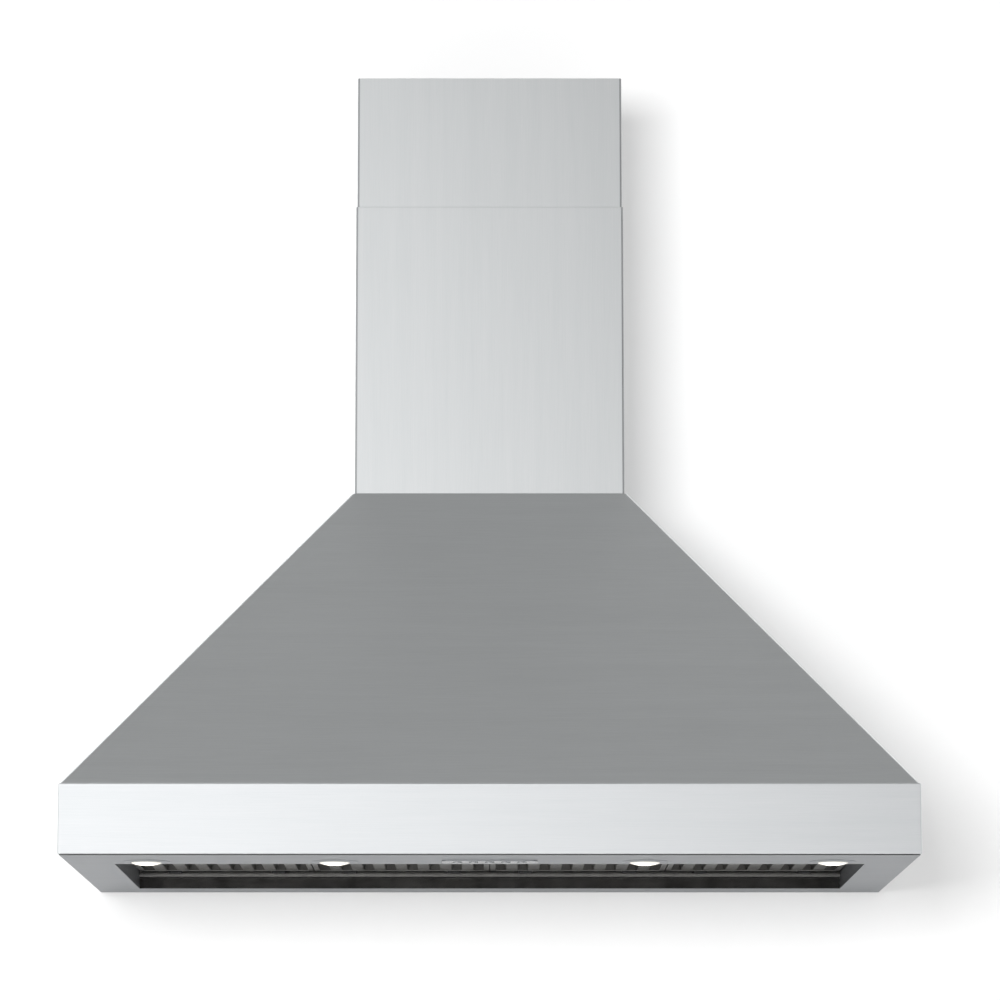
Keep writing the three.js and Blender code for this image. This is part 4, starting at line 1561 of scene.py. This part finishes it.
@dataclass
class BaffleFilter:
    """One baffle filter: a folded frame, two rows of interleaved channels, rivets and a wire handle.

    The lower channels stand open side up and the upper ones open side down over the slots between them,
    so the air turns twice and leaves its grease on the steel.

    Attributes:
        shop: The finishes and trees.
        number: Which filter it is, counted from the left.
        slots: How many air slots it has, one under each upper channel.
        sheet: The channels' thickness.
        frame_sheet: The frame's thickness.
        web_low: Half of a lower channel's flat web.
        mouth_low: Half of its open side.
        web_high: Half of an upper channel's flat web.
        mouth_high: Half of its open side.
        depth: How high a channel is.
        end_flange: How far the frame's folds reach in at the front and back.
        wire: The handle's radius.
        underside: How high the frame's lower face lies above the underside.
    """

    shop: Workshop
    number: int
    slots: int = 8
    sheet: float = 0.8 * MM
    frame_sheet: float = 1.0 * MM
    web_low: float = 9 * MM
    mouth_low: float = 12 * MM
    web_high: float = 10 * MM
    mouth_high: float = 13 * MM
    depth: float = 16 * MM
    end_flange: float = 24 * MM
    wire: float = 2.5 * MM
    underside: float = 25.8 * MM

    def __post_init__(self) -> None:
        """Reads the filter's box."""
        low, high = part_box(f"baffle_filter_{self.number}")
        self.foot = low.z
        self.low = Vector((low.x, low.y, lift(self.underside)))
        self.high = high
        self.body = f"filter_{self.number}"
        self.middle = (low.x + high.x) / 2
        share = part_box("baffle_filter_2")[0].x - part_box("baffle_filter_1")[0].x
        self.pitch = share / self.slots
        self.side_flange = self.web_low - (share - (high.x - low.x)) / 2

    def build_frame(self) -> Piece:
        """Makes the folded frame, open in the middle.

        Returns:
            The frame.
        """
        low, high, t = self.low, self.high, self.frame_sheet

        def level(x: float, y: float, z: float) -> tuple[float, float, float, float, float]:
            """A row this far inside the frame's outer faces."""
            return low.x + x, high.x - x, low.y + y, high.y - y, z

        side, end = self.side_flange, self.end_flange
        rows = [
            level(side, end, low.z), level(0, 0, low.z), level(0, 0, high.z), level(side, end, high.z),
            level(side, end, high.z - t), level(t, t, high.z - t), level(t, t, low.z + t),
            level(side, end, low.z + t),
        ]
        return frame_shell("filter_frame", rows)

    def channel(self, web: float, mouth: float, start: float, end: float, x: float) -> Piece:
        """Makes one channel of bent sheet that runs from front to back.

        Args:
            web: Half of the flat web's width.
            mouth: Half of the open side's width.
            start: The web's outer height.
            end: The open side's height.
            x: Where its middle is.

        Returns:
            The object.
        """
        up = math.copysign(1.0, end - start)
        t = self.sheet
        outer = [(x - mouth, end), (x - web, start), (x + web, start), (x + mouth, end)]
        inner = [
            (x + mouth - t * 1.05, end), (x + web - t * 0.8, start + t * up),
            (x - web + t * 0.8, start + t * up), (x - mouth + t * 1.05, end),
        ]
        outline = fillet(outer, 1.8 * MM, 3, closed=False) + fillet(inner, 1.0 * MM, 3, closed=False)
        inset = 1.4 * MM
        return prism("channel", outline, self.low.y + inset, self.high.y - inset, Axis.Y)

    def build_channels(self) -> list[Piece]:
        """Makes the lower row of channels and the upper row over its slots.

        Returns:
            One piece for each row.
        """
        steel = self.shop.finishes.filters
        recipes = self.shop.recipes
        step = (self.pitch, 0, 0)
        first = self.middle - self.pitch * (self.slots - 1) / 2
        floor, roof = self.low.z + self.frame_sheet, self.high.z - self.frame_sheet
        upper = self.channel(self.web_high, self.mouth_high, roof, roof - self.depth, first)
        lower = self.channel(self.web_low, self.mouth_low, floor, floor + self.depth, first + self.pitch / 2)
        return [
            recipes.in_row(upper, self.slots, step, steel),
            recipes.in_row(lower, self.slots - 1, step, steel),
        ]

    def build_rivets(self) -> list[Piece]:
        """Makes the rivets that hold each channel's ends to the frame, below and above.

        Returns:
            One piece for each row.
        """
        steel = self.shop.finishes.filters
        radius, height, sunk, inset = 2.2 * MM, 0.9 * MM, 0.2 * MM, 11 * MM
        dome = [
            (0.0, -sunk), (radius, 0.0), (radius * 0.82, height * 0.7), (radius * 0.4, height), (0.0, height)
        ]
        rows = []
        for y in (self.low.y + inset, self.high.y - inset):
            for z, way, count in ((self.low.z, -1, self.slots - 1), (self.high.z, 1, self.slots)):
                x = self.middle - self.pitch * (count - 1) / 2
                rivet = lathe("rivets", [(r, way * h) for r, h in dome], (x, y, z), steps=12)
                rows.append(self.shop.recipes.in_row(rivet, count, (self.pitch, 0, 0), steel))
        return rows

    def build_feet(self) -> Piece:
        """Makes the two rubber feet that rest on the gutter's lip and stop the filter's rattle.

        Returns:
            Both feet, as one piece.
        """
        half, near, far, rounding, apart = 10 * MM, 16 * MM, 2 * MM, 2 * MM, 80 * MM
        feet = []
        for x in (self.middle - apart, self.middle + apart):
            outline = rectangle(x - half, x + half, self.high.y - near, self.high.y - far, rounding)
            feet.append(prism("foot", outline, self.foot, self.low.z))
        return soften(join(f"filter_feet_{self.number}", feet), 0.4 * MM)

    def build_handle(self) -> Piece:
        """Makes the bent-wire handle with its two riveted feet.

        Returns:
            The handle.
        """
        low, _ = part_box(f"filter_handle_{self.number}")
        y, bottom = self.low.y + 12 * MM, low.z + self.wire
        top = self.low.z - 0.5 * MM
        reach, corner = 34 * MM, 8 * MM
        line = [(-reach, top), (-reach, bottom), (reach, bottom), (reach, top)]
        path = [(self.middle + x, y, z) for x, z in fillet(line, corner, 8, closed=False)]
        wire = tube("handle", path, self.wire)
        washer = fillet(in_mm((0, 0), (6, 0), (6, 1.7), (0, 1.7)), 0.5 * MM, 2, closed=False)
        z = self.low.z - 2 * MM
        feet = [lathe("washer", washer, (self.middle + x, y, z), steps=24) for x in (-reach, reach)]
        return soften(join(f"wire_handle_{self.number}", [wire, *feet]), 0.15 * MM)

    def dress(self) -> None:
        """Builds the filter and its handle and gives each its finish."""
        finishes, n = self.shop.finishes, self.number
        parts = [self.build_frame(), *self.build_channels(), *self.build_rivets()]
        baffles = soften(join(f"filter_baffles_{n}", parts), 0.25 * MM, 1)
        settle(baffles, finishes.filters, self.body, [f"baffle_filter_{n}"])
        settle(self.build_feet(), finishes.plastic, self.body)
        settle(self.build_handle(), finishes.polished, self.body, [f"filter_handle_{n}"])


# ---------------------------------------------------------------- lamps and controls


@dataclass
class Lamp:
    """One lamp: a trim ring, an opal lens that stands a little below it, and a finned can.

    Attributes:
        shop: The finishes and trees.
        number: Which lamp it is, counted from the left.
        steps: How many faces go round it.
    """

    shop: Workshop
    number: int
    steps: int = 56

    def __post_init__(self) -> None:
        """Finds the lamp's middle."""
        low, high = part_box(f"lamp_lens_{self.number}")
        self.spot = ((low.x + high.x) / 2, (low.y + high.y) / 2, lift(0.0))

    def build_ring(self) -> Piece:
        """Makes the trim ring with its spigot.

        Returns:
            The ring.
        """
        inner, crest, outer, sink, wall = 22 * MM, 24.5 * MM, 33.5 * MM, 27.4 * MM, 25.8 * MM
        drop, height, rim = -1.8 * MM, 10 * MM, -0.4 * MM
        profile = [
            (inner, -GAP), (inner, drop), (crest, drop), (outer, rim), (outer, -SEAT),
            (sink, -SEAT), (sink, height), (wall, height), (wall, -GAP),
        ]
        ring = lathe(f"trim_ring_{self.number}", profile, self.spot, steps=self.steps, ring=True)
        return soften(ring, 0.2 * MM)

    def build_lens(self) -> Piece:
        """Makes the domed lens and notes on it how near each point is to the LED board.

        Returns:
            The lens.
        """
        rim, dome, shoulder, flange, top = 21.6 * MM, 5.2 * MM, 1.4 * MM, 25.3 * MM, 2.4 * MM
        rings, fade = 9, 5
        turns = [math.pi / 2 * k / rings for k in range(rings + 1)]
        arc = [(rim * math.sin(t), -shoulder - (dome - shoulder) * math.cos(t)) for t in turns]
        profile = [*arc, (rim, GAP), (flange, GAP), (flange, top), (0.0, top)]
        lens = lathe(f"lens_{self.number}", profile, self.spot, steps=self.steps)
        lens.data.polygons.foreach_set("use_smooth", [True] * len(lens.data.polygons))
        near = lens.data.attributes.new(LENS_ATTRIBUTE, "FLOAT", "POINT")
        for vertex, value in zip(lens.data.vertices, near.data):
            away = math.hypot(vertex.co.x - self.spot[0], vertex.co.y - self.spot[1])
            value.value = max(0.0, 1 - (away / rim) ** 2) ** fade
        return lens

    def build_can(self) -> Piece:
        """Makes the can and its cooling fins.

        Returns:
            The can with its fins.
        """
        profile = in_mm((0, 10.3), (25, 10.3), (25, 19), (15, 19), (15, 33), (0, 33))
        can = lathe("can", profile, self.spot, steps=self.steps)
        x, y, z = self.spot
        outline = rectangle(x + 12 * MM, x + 24.5 * MM, y - 0.7 * MM, y + 0.7 * MM)
        fin = prism("fin", outline, z + 18.5 * MM, z + 32.5 * MM)
        fins = self.shop.recipes.in_ring(fin, 16, (0, 0, 1), (x, y, z), self.shop.finishes.enamel)
        return soften(join(f"lamp_heat_sink_{self.number}", [can, fins]), 0.3 * MM)

    def dress(self) -> None:
        """Builds the lamp and gives each piece its finish."""
        finishes, n = self.shop.finishes, self.number
        settle(self.build_ring(), finishes.underside, HOOD, [f"lamp_bezel_{n}"])
        settle(self.build_lens(), finishes.lens, HOOD, [f"lamp_lens_{n}"])
        settle(self.build_can(), finishes.enamel, HOOD, [f"lamp_can_{n}"])


@dataclass
class ControlPanel:
    """The push-button panel in the front margin of the underside: bezel, five buttons, switch housing.

    Attributes:
        shop: The finishes and trees.
        radius: The bezel's plan corners.
        button: A button's radius.
        count: How many buttons there are.
    """

    shop: Workshop
    radius: float = 8 * MM
    button: float = 6.5 * MM
    count: int = 5

    def __post_init__(self) -> None:
        """Reads the bezel's box."""
        self.low, self.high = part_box("control_bezel")

    def centres(self) -> list[Vector]:
        """The buttons' middles."""
        boxes = [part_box(f"button_{n}") for n in range(1, self.count + 1)]
        return [(low + high) / 2 for low, high in boxes]

    def build_bezel(self) -> Piece:
        """Makes the bezel with its holes, and the neck that passes up through the plate.

        Returns:
            The bezel.
        """
        low, high = self.low, self.high
        top = lift(0.0) - SEAT
        holes = [circle(c.x, c.y, self.button + 0.4 * MM, 40) for c in self.centres()]
        outline = rectangle(low.x, high.x, low.y, high.y, self.radius)
        face = prism("face", outline, low.z, top, holes=holes)
        neck_x, neck_y = high.x - 9.5 * MM, 6 * MM
        wall = 1.5 * MM
        front, back = low.y + neck_y, high.y - neck_y
        outside = rectangle(-neck_x, neck_x, front, back, 3 * MM)
        inside = rectangle(wall - neck_x, neck_x - wall, front + wall, back - wall, 2 * MM)
        neck = prism("neck", outside, top, high.z, holes=[inside])
        return soften(join("button_bezel", [face, neck]), 0.3 * MM)

    def build_button(self, number: int, centre: Vector) -> Piece:
        """Makes a button with a dished face and a fine turned line near its rim.

        Args:
            number: Which button it is, counted from the left.
            centre: Where its axis lies, seen from above.

        Returns:
            The button.
        """
        low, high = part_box(f"button_{number}")
        r, base = self.button, lift(0.0)
        down = low.z - base
        profile = [
            (0.0, down + 0.7 * MM), (r * 0.35, down + 0.6 * MM), (r * 0.62, down + 0.3 * MM),
            (r * 0.74, down + 0.05 * MM), (r * 0.76, down + 0.25 * MM), (r * 0.8, down + 0.25 * MM),
            (r * 0.82, down), (r - 0.5 * MM, down),
            (r - 0.1 * MM, down + 0.4 * MM), (r, down + 0.9 * MM), (r, -0.6 * MM), (r + 2 * MM, -0.6 * MM),
            (r + 2 * MM, 0.8 * MM), (3 * MM, 0.8 * MM), (3 * MM, high.z - base), (0.0, high.z - base),
        ]
        cap = lathe(f"push_cap_{number}", profile, (centre.x, centre.y, base), steps=40)
        return soften(cap, 0.12 * MM)

    def dress(self) -> None:
        """Builds the panel and gives each piece its finish."""
        finishes = self.shop.finishes
        settle(self.build_bezel(), finishes.trim, HOOD, ["control_bezel"])
        for number, centre in enumerate(self.centres(), 1):
            cap = self.build_button(number, centre)
            settle(cap, finishes.trim, f"push_button_{number}", [f"button_{number}"])
        dress_node("control_housing", "switch_housing", 0.8 * MM, finishes.plastic)


# ---------------------------------------------------------------- blower and outlet


@dataclass
class Blower:
    """The double-inlet centrifugal blower: volute, sides, squirrel-cage wheel, shaft, motor and mount.

    Attributes:
        shop: The finishes and trees.
        tongue: Where the spiral starts, as an angle up from the wall side.
        near: The spiral's radius there.
        far: Its radius at the throat's wall.
        spiral_points: How many points the spiral's line has.
        eye: The radius of the wheel's open middle.
        blades: How many blades the wheel has.
    """

    shop: Workshop
    tongue: float = math.radians(65)
    near: float = 119 * MM
    far: float = 190 * MM
    spiral_points: int = 66
    eye: float = 94 * MM
    blades: int = 40

    def __post_init__(self) -> None:
        """Reads the wheel's place and size."""
        low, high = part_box("fan_wheel")
        middle = (low + high) / 2
        self.centre = (0.0, -291 * MM, middle.z)
        self.rim = (high.z - low.z) / 2
        self.half = high.x

    def build_volute(self) -> Piece:
        """Makes the spiral wrapper.

        Returns:
            The wrapper.
        """
        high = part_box("blower_scroll")[1]
        piece = put("blower_volute", bpy.data.meshes.new("volute"))
        values = {
            "Points": self.spiral_points,
            "Tongue": self.tongue,
            "Near": self.near,
            "Far": self.far,
            "Top": high.z - self.centre[2],
            "Half Width": high.x,
            "Sheet": SHEET,
            "Centre": self.centre,
            "Material": self.shop.finishes.galvanised,
        }
        made = self.shop.recipes.volute.run(piece, values)
        clean(made.data)
        return soften(made, 0.2 * MM)

    def build_blades(self) -> Piece:
        """Makes the ring of forward-curved blades.

        Returns:
            The blades, as one piece.
        """
        steps, thickness = 7, 0.9 * MM
        short, end = 0.6 * MM, 1 * MM  # from a blade to the rim, and to the end rings' outer faces
        lead, sweep = 0.02, 0.15  # radians
        steel = self.shop.finishes.galvanised
        _, y, z = self.centre

        def edge(shift: float) -> list[Pair]:
            """One face of the blade's section, from the eye to the rim.

            Args:
                shift: How far the face lies across the blade.

            Returns:
                The face's points, as pairs of y and z.
            """
            line = []
            for k in range(steps + 1):
                share = k / steps
                r = self.eye + (self.rim - short - self.eye) * share
                swept = lead + sweep * share * share
                sine, cosine = math.sin(swept), math.cos(swept)
                line.append((y + r * cosine - shift * sine, z + r * sine + shift))
            return line

        outline = edge(0.0) + edge(thickness)[::-1]
        blade = prism("blade", outline, -self.half + end, self.half - end, Axis.X)
        return self.shop.recipes.in_ring(blade, self.blades, (1, 0, 0), self.centre, steel)

    def build_wheel(self) -> Piece:
        """Makes the wheel: blades between two end rings, and a dished centre disc with its hub.

        Returns:
            The wheel.
        """
        rim, half, ring, steps = self.rim, self.half, 2 * MM, 80
        parts = [self.build_blades()]
        for x in (-half, half - ring):
            lip = [(self.eye, x), (rim, x), (rim, x + ring), (self.eye, x + ring)]
            parts.append(lathe("end_ring", lip, self.centre, Axis.X, steps, ring=True))
        disc = [
            *in_mm((5.4, -2), (14, -2), (14, 8), (18, 8), (40, 10)),
            (rim, 10 * MM), (rim, 11.2 * MM),
            *in_mm((38, 11.2), (17, 14), (14, 24), (5.4, 24)),
        ]
        parts.append(lathe("disc", disc, self.centre, Axis.X, steps, ring=True))
        return soften(join("squirrel_cage", parts), 0.2 * MM, 1)

    def build_motor(self) -> Piece:
        """Makes the motor's can and the ring of ribs round it.

        Returns:
            The motor.
        """
        profile = in_mm(
            (5.6, -4), (20, -4), (20, -8), (42, -12), (46, -18), (46, -38), (44, -40), (44, -54), (46, -56),
            (46, -78), (40, -88), (0, -88), (0, -34), (5.6, -34),
        )
        can = lathe("can", profile, self.centre, Axis.X, 64)
        _, y, z = self.centre
        outline = in_mm((-62, 45), (-76, 45), (-76, 46), (-62, 46))
        half = 0.9 * MM
        rib = prism("rib", [(x, z + r) for x, r in outline], y - half, y + half, Axis.Y)
        ribs = self.shop.recipes.in_ring(rib, 24, (1, 0, 0), self.centre, self.shop.finishes.enamel)
        return soften(join("motor_can", [can, ribs]), 0.4 * MM)

    def dress(self) -> None:
        """Builds the blower and gives each piece its finish."""
        finishes = self.shop.finishes
        settle(self.build_volute(), finishes.galvanised, HOOD, ["blower_scroll"])
        for side in Side:
            node = f"blower_side_{side.name.lower()}"
            dress_node(node, f"{node}_sheet", 0.25 * MM, finishes.galvanised)
        settle(self.build_wheel(), finishes.galvanised, "fan", ["fan_wheel"])
        low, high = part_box("motor_shaft")
        rod = rod_profile(5 * MM, 0.4 * MM, low.x, high.x)
        shaft = soften(lathe("drive_shaft", rod, self.centre, Axis.X, 32), 0.1 * MM)
        settle(shaft, finishes.polished, "fan", ["motor_shaft"])
        settle(self.build_motor(), finishes.enamel, HOOD, ["motor"])
        dress_node("motor_mount", "motor_spider", 0.5 * MM, finishes.galvanised)


@dataclass
class Outlet:
    """The plate over the canopy's crown, the round collar and the back-draught damper in it.

    Attributes:
        shop: The finishes and trees.
        radius: The collar's outer radius.
        flange: How far the collar's foot reaches past it.
        bead: How far the bead that the flaps rest on stands in.
    """

    shop: Workshop
    radius: float = 125 * MM
    flange: float = 15 * MM
    bead: float = 4 * MM

    def __post_init__(self) -> None:
        """Reads the collar's place."""
        self.low, self.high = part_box("duct_collar")
        self.centre = (0.0, (self.low.y + self.high.y) / 2, 0.0)
        pin_low, pin_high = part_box("damper_pin")
        self.pin = (pin_low + pin_high) / 2

    def build_collar(self) -> Piece:
        """Makes the collar: a foot flange, and a bead for the flaps to rest on.

        Returns:
            The collar.
        """
        r, inner, foot = self.radius, self.radius - SHEET, self.radius + self.flange
        base, top, seat = self.low.z, self.high.z, self.pin.z
        lip = inner - self.bead
        profile = [
            (inner, base), (foot, base), (foot, base + SHEET), (r, base + SHEET), (r, top), (inner, top),
            (inner, seat - 1 * MM), (lip, seat - 1.6 * MM), (lip, seat - 3 * MM), (inner, seat - 5 * MM),
        ]
        return soften(lathe("outlet_collar", profile, self.centre, steps=96, ring=True), 0.3 * MM)

    def build_pin(self) -> Piece:
        """Makes the damper's pin with its turned ends.

        Returns:
            The pin.
        """
        low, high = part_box("damper_pin")
        rod = rod_profile(2.5 * MM, 0.5 * MM, low.x, high.x)
        return soften(lathe("hinge_pin", rod, (0.0, self.pin.y, self.pin.z), Axis.X, 24), 0.1 * MM)

    def dress(self) -> None:
        """Builds the outlet and gives each piece its finish."""
        finishes = self.shop.finishes
        zinc = finishes.galvanised
        dress_node("top_plate", "crown_plate", 0.3 * MM, zinc)
        settle(self.build_collar(), zinc, HOOD, ["duct_collar"])
        settle(self.build_pin(), finishes.polished, HOOD, ["damper_pin"])
        for place in ("front", "back"):
            dress_node(f"damper_flap_{place}", f"flap_{place}", 0.2 * MM, zinc, f"damper_{place}")


# ---------------------------------------------------------------- stage


@dataclass(frozen=True)
class Ramp:
    """How bright a card is: its value at the frame's origin and what each metre adds along x and z."""

    middle: float
    per_x: float
    per_z: float
    least: float
    most: float


@dataclass
class Stage:
    """The white wall, the pale floor, the studio light and the camera at the photograph's angle.

    Attributes:
        wall_size: The wall's width and height.
        floor: The floor's height in the frame.
        wall_white: How much of what is seen of the wall is plain white instead of shaded paint.
        key_slope: How far the key light falls along x and z for each metre towards the wall.
        key_size: The key lamp's width and height.
        key_watts: Its power.
        key_away: How far in front of the wall it stands.
        lens: The camera's focal length in millimetres.
        sensor: The width of its sensor in millimetres.
        shift: How far its picture is shifted sideways, as a share of its width.
        camera_spot: Where it stands.
        tilt: How far it looks up from level, in radians.
        sight: How far it sees.
    """

    wall_size: float = 14.0
    floor: float = -2.25
    wall_white: float = 0.27
    key_slope: Pair = (0.165, 0.03)
    key_size: Pair = (1.9, 1.2)
    key_watts: float = 350.0
    key_away: float = 7.0
    lens: float = 158.38
    sensor: float = 36.0
    shift: float = 0.0103
    camera_spot: Point = (0.0, -6.88, -1.0083)
    tilt: float = math.radians(9.488)
    sight: float = 60.0

    def seen(self, tree: Tree) -> Socket:
        """One for camera, glossy and transmission rays, and nought for the rays of the light.

        Args:
            tree: The material's tree.

        Returns:
            The ray's share, 1 or 0.
        """
        ray = add_node(tree, "ShaderNodeLightPath").outputs
        direct = calculate(tree, "MAXIMUM", ray["Is Camera Ray"], ray["Is Glossy Ray"])
        return calculate(tree, "MAXIMUM", direct, ray["Is Transmission Ray"])

    def one_sided(self, tree: Tree, front: Socket) -> None:
        """Ends a stage material in a surface that nothing sees from behind.

        Args:
            tree: The material's tree.
            front: The shader that shows from in front.
        """
        clear = add_node(tree, "ShaderNodeBsdfTransparent")
        behind = add_node(tree, "ShaderNodeNewGeometry").outputs["Backfacing"]
        mixed = add_node(tree, "ShaderNodeMixShader", None, {0: behind, 1: front, 2: clear.outputs[0]})
        add_node(tree, "ShaderNodeOutputMaterial", None, {"Surface": mixed.outputs[0]})

    def paint(self, name: str, colour: str, white_share: float) -> Material:
        """Makes a matt paint, part of which shows as plain white.

        Args:
            name: The material's name.
            colour: The paint.
            white_share: How much of what is seen is plain white.

        Returns:
            The material.
        """
        material, tree = new_material(name)
        paint = add_node(tree, "ShaderNodeBsdfDiffuse", None, {"Color": linear(colour)})
        white = add_node(tree, "ShaderNodeEmission", None, {"Color": grey(1.0), "Strength": 1.0})
        part = calculate(tree, "MULTIPLY", self.seen(tree), white_share)
        inputs = {0: part, 1: paint.outputs[0], 2: white.outputs[0]}
        front = add_node(tree, "ShaderNodeMixShader", None, inputs)
        self.one_sided(tree, front.outputs[0])
        return material

    def glow(self, name: str, ramp: Ramp) -> Material:
        """Makes a glowing cloth whose brightness runs evenly across it.

        Args:
            name: The material's name.
            ramp: The brightness.

        Returns:
            The material.
        """
        material, tree = new_material(name)
        place = add_node(tree, "ShaderNodeSeparateXYZ", None, {0: object_coordinates(tree)}).outputs
        sideways = calculate(tree, "MULTIPLY_ADD", place["X"], ramp.per_x, ramp.middle)
        upright = calculate(tree, "MULTIPLY_ADD", place["Z"], ramp.per_z, sideways)
        limits = {"Value": upright, "Min": ramp.least, "Max": ramp.most}
        level = add_node(tree, "ShaderNodeClamp", None, limits).outputs[0]
        shade = add_node(tree, "ShaderNodeEmission", None, {"Color": grey(1.0), "Strength": level})
        self.one_sided(tree, shade.outputs[0])
        return material

    def card(self, name: str, corners: Sequence[Point], material: Material) -> Piece:
        """Makes a flat stage piece from four corners.

        Args:
            name: The piece's name.
            corners: Its corners, in order.
            material: Its finish.

        Returns:
            The object.
        """
        mesh = bpy.data.meshes.new(name)
        mesh.from_pydata(list(corners), [], [(0, 1, 2, 3)])
        mesh.materials.append(material)
        made = put(name, mesh)
        return made

    def reflected(self, name: str, corners: Sequence[Point], ramp: Ramp) -> None:
        """Makes a card that only shows in the steel.

        Args:
            name: The card's name.
            corners: Its corners, in order.
            ramp: Its brightness.
        """
        made = self.card(name, corners, self.glow(name, ramp))
        made.visible_camera = False
        made.visible_diffuse = False
        made.visible_shadow = False

    def build_surfaces(self) -> None:
        """Makes the wall behind the hood and the floor below it."""
        half, y, top = self.wall_size / 2, 2 * MM, self.floor + self.wall_size
        wall = [(-half, y, self.floor), (half, y, self.floor), (half, y, top), (-half, y, top)]
        self.card("wall", wall, self.paint("matt_wall_paint", "#F6F6F6", self.wall_white))
        near, z = -self.wall_size, self.floor
        floor = [(-half, near, z), (half, near, z), (half, y, z), (-half, y, z)]
        self.card("floor", floor, self.paint("pale_floor_paint", "#E2E2E1", 0.0))

    def build_cards(self) -> None:
        """Makes what the steel reflects: a bright screen in front of it and a grey cloth overhead."""
        reach, front, foot, top = 3.4, -2.7, -1.0, 1.9  # the screen's foot hangs clear of the floor
        screen = [(reach, front, foot), (-reach, front, foot), (-reach, front, top), (reach, front, top)]
        brightness = Ramp(middle=0.99, per_x=-0.33, per_z=-0.17, least=0.45, most=1.27)
        self.reflected("front_screen", screen, brightness)
        near, z, cloth = front - 1.2, 2.4, 0.37
        ceiling = [(-reach, near, z), (-reach, WALL, z), (reach, WALL, z), (reach, near, z)]
        self.reflected("ceiling_cloth", ceiling, Ramp(cloth, 0.0, 0.0, cloth, cloth))

    def build_light(self) -> None:
        """Sets the white surround and the soft key light from the upper left."""
        world = bpy.data.worlds.new("studio")
        world.use_nodes = True
        tree = world.node_tree
        tree.nodes.clear()
        ray = add_node(tree, "ShaderNodeLightPath").outputs
        level = {"Value": self.seen(tree), "To Min": 0.5, "To Max": 0.85}
        lit = add_node(tree, "ShaderNodeMapRange", None, level).outputs[0]
        shown = calculate(tree, "MAXIMUM", lit, ray["Is Camera Ray"])
        sky = add_node(tree, "ShaderNodeBackground", None, {"Color": grey(1.0), "Strength": shown})
        add_node(tree, "ShaderNodeOutputWorld", None, {"Surface": sky.outputs[0]})
        bpy.context.scene.world = world
        data = bpy.data.lights.new("key_lamp", "AREA")
        data.shape = "RECTANGLE"
        data.size, data.size_y = self.key_size
        data.energy = self.key_watts
        lamp = put("key_lamp", data)
        falls = Vector((self.key_slope[0], 1.0, self.key_slope[1]))
        lamp.location = -self.key_away * falls
        lamp.rotation_euler = falls.to_track_quat("-Z", "Z").to_euler()
        lamp.visible_glossy = False

    def build_camera(self) -> None:
        """Makes the camera."""
        data = bpy.data.cameras.new("camera")
        data.lens = self.lens
        data.sensor_width = self.sensor
        data.shift_x = self.shift
        data.clip_end = self.sight
        camera = put("camera", data)
        camera.location = self.camera_spot
        camera.rotation_euler = (math.pi / 2 + self.tilt, 0.0, 0.0)
        bpy.context.scene.camera = camera

    def build(self) -> None:
        """Builds the whole stage."""
        bpy.context.scene.view_settings.view_transform = "Standard"
        self.build_camera()
        self.build_surfaces()
        self.build_cards()
        self.build_light()


# ---------------------------------------------------------------- assembly


def main() -> None:
    """Builds the stage and every sub-assembly in order."""
    logging.basicConfig(level=logging.INFO, format="%(name)s: %(message)s")
    Stage().build()
    shop = Workshop(Finishes(), Recipes())
    Canopy(shop).dress()
    Skirt(shop).dress()
    Chimney(shop).dress()
    RearWall(shop).dress()
    Underside(shop).dress()
    for number in FILTER_NUMBERS:
        BaffleFilter(shop, number).dress()
    for number in LAMP_NUMBERS:
        Lamp(shop, number).dress()
    ControlPanel(shop).dress()
    Blower(shop).dress()
    Outlet(shop).dress()


if __name__ == "__main__":
    main()
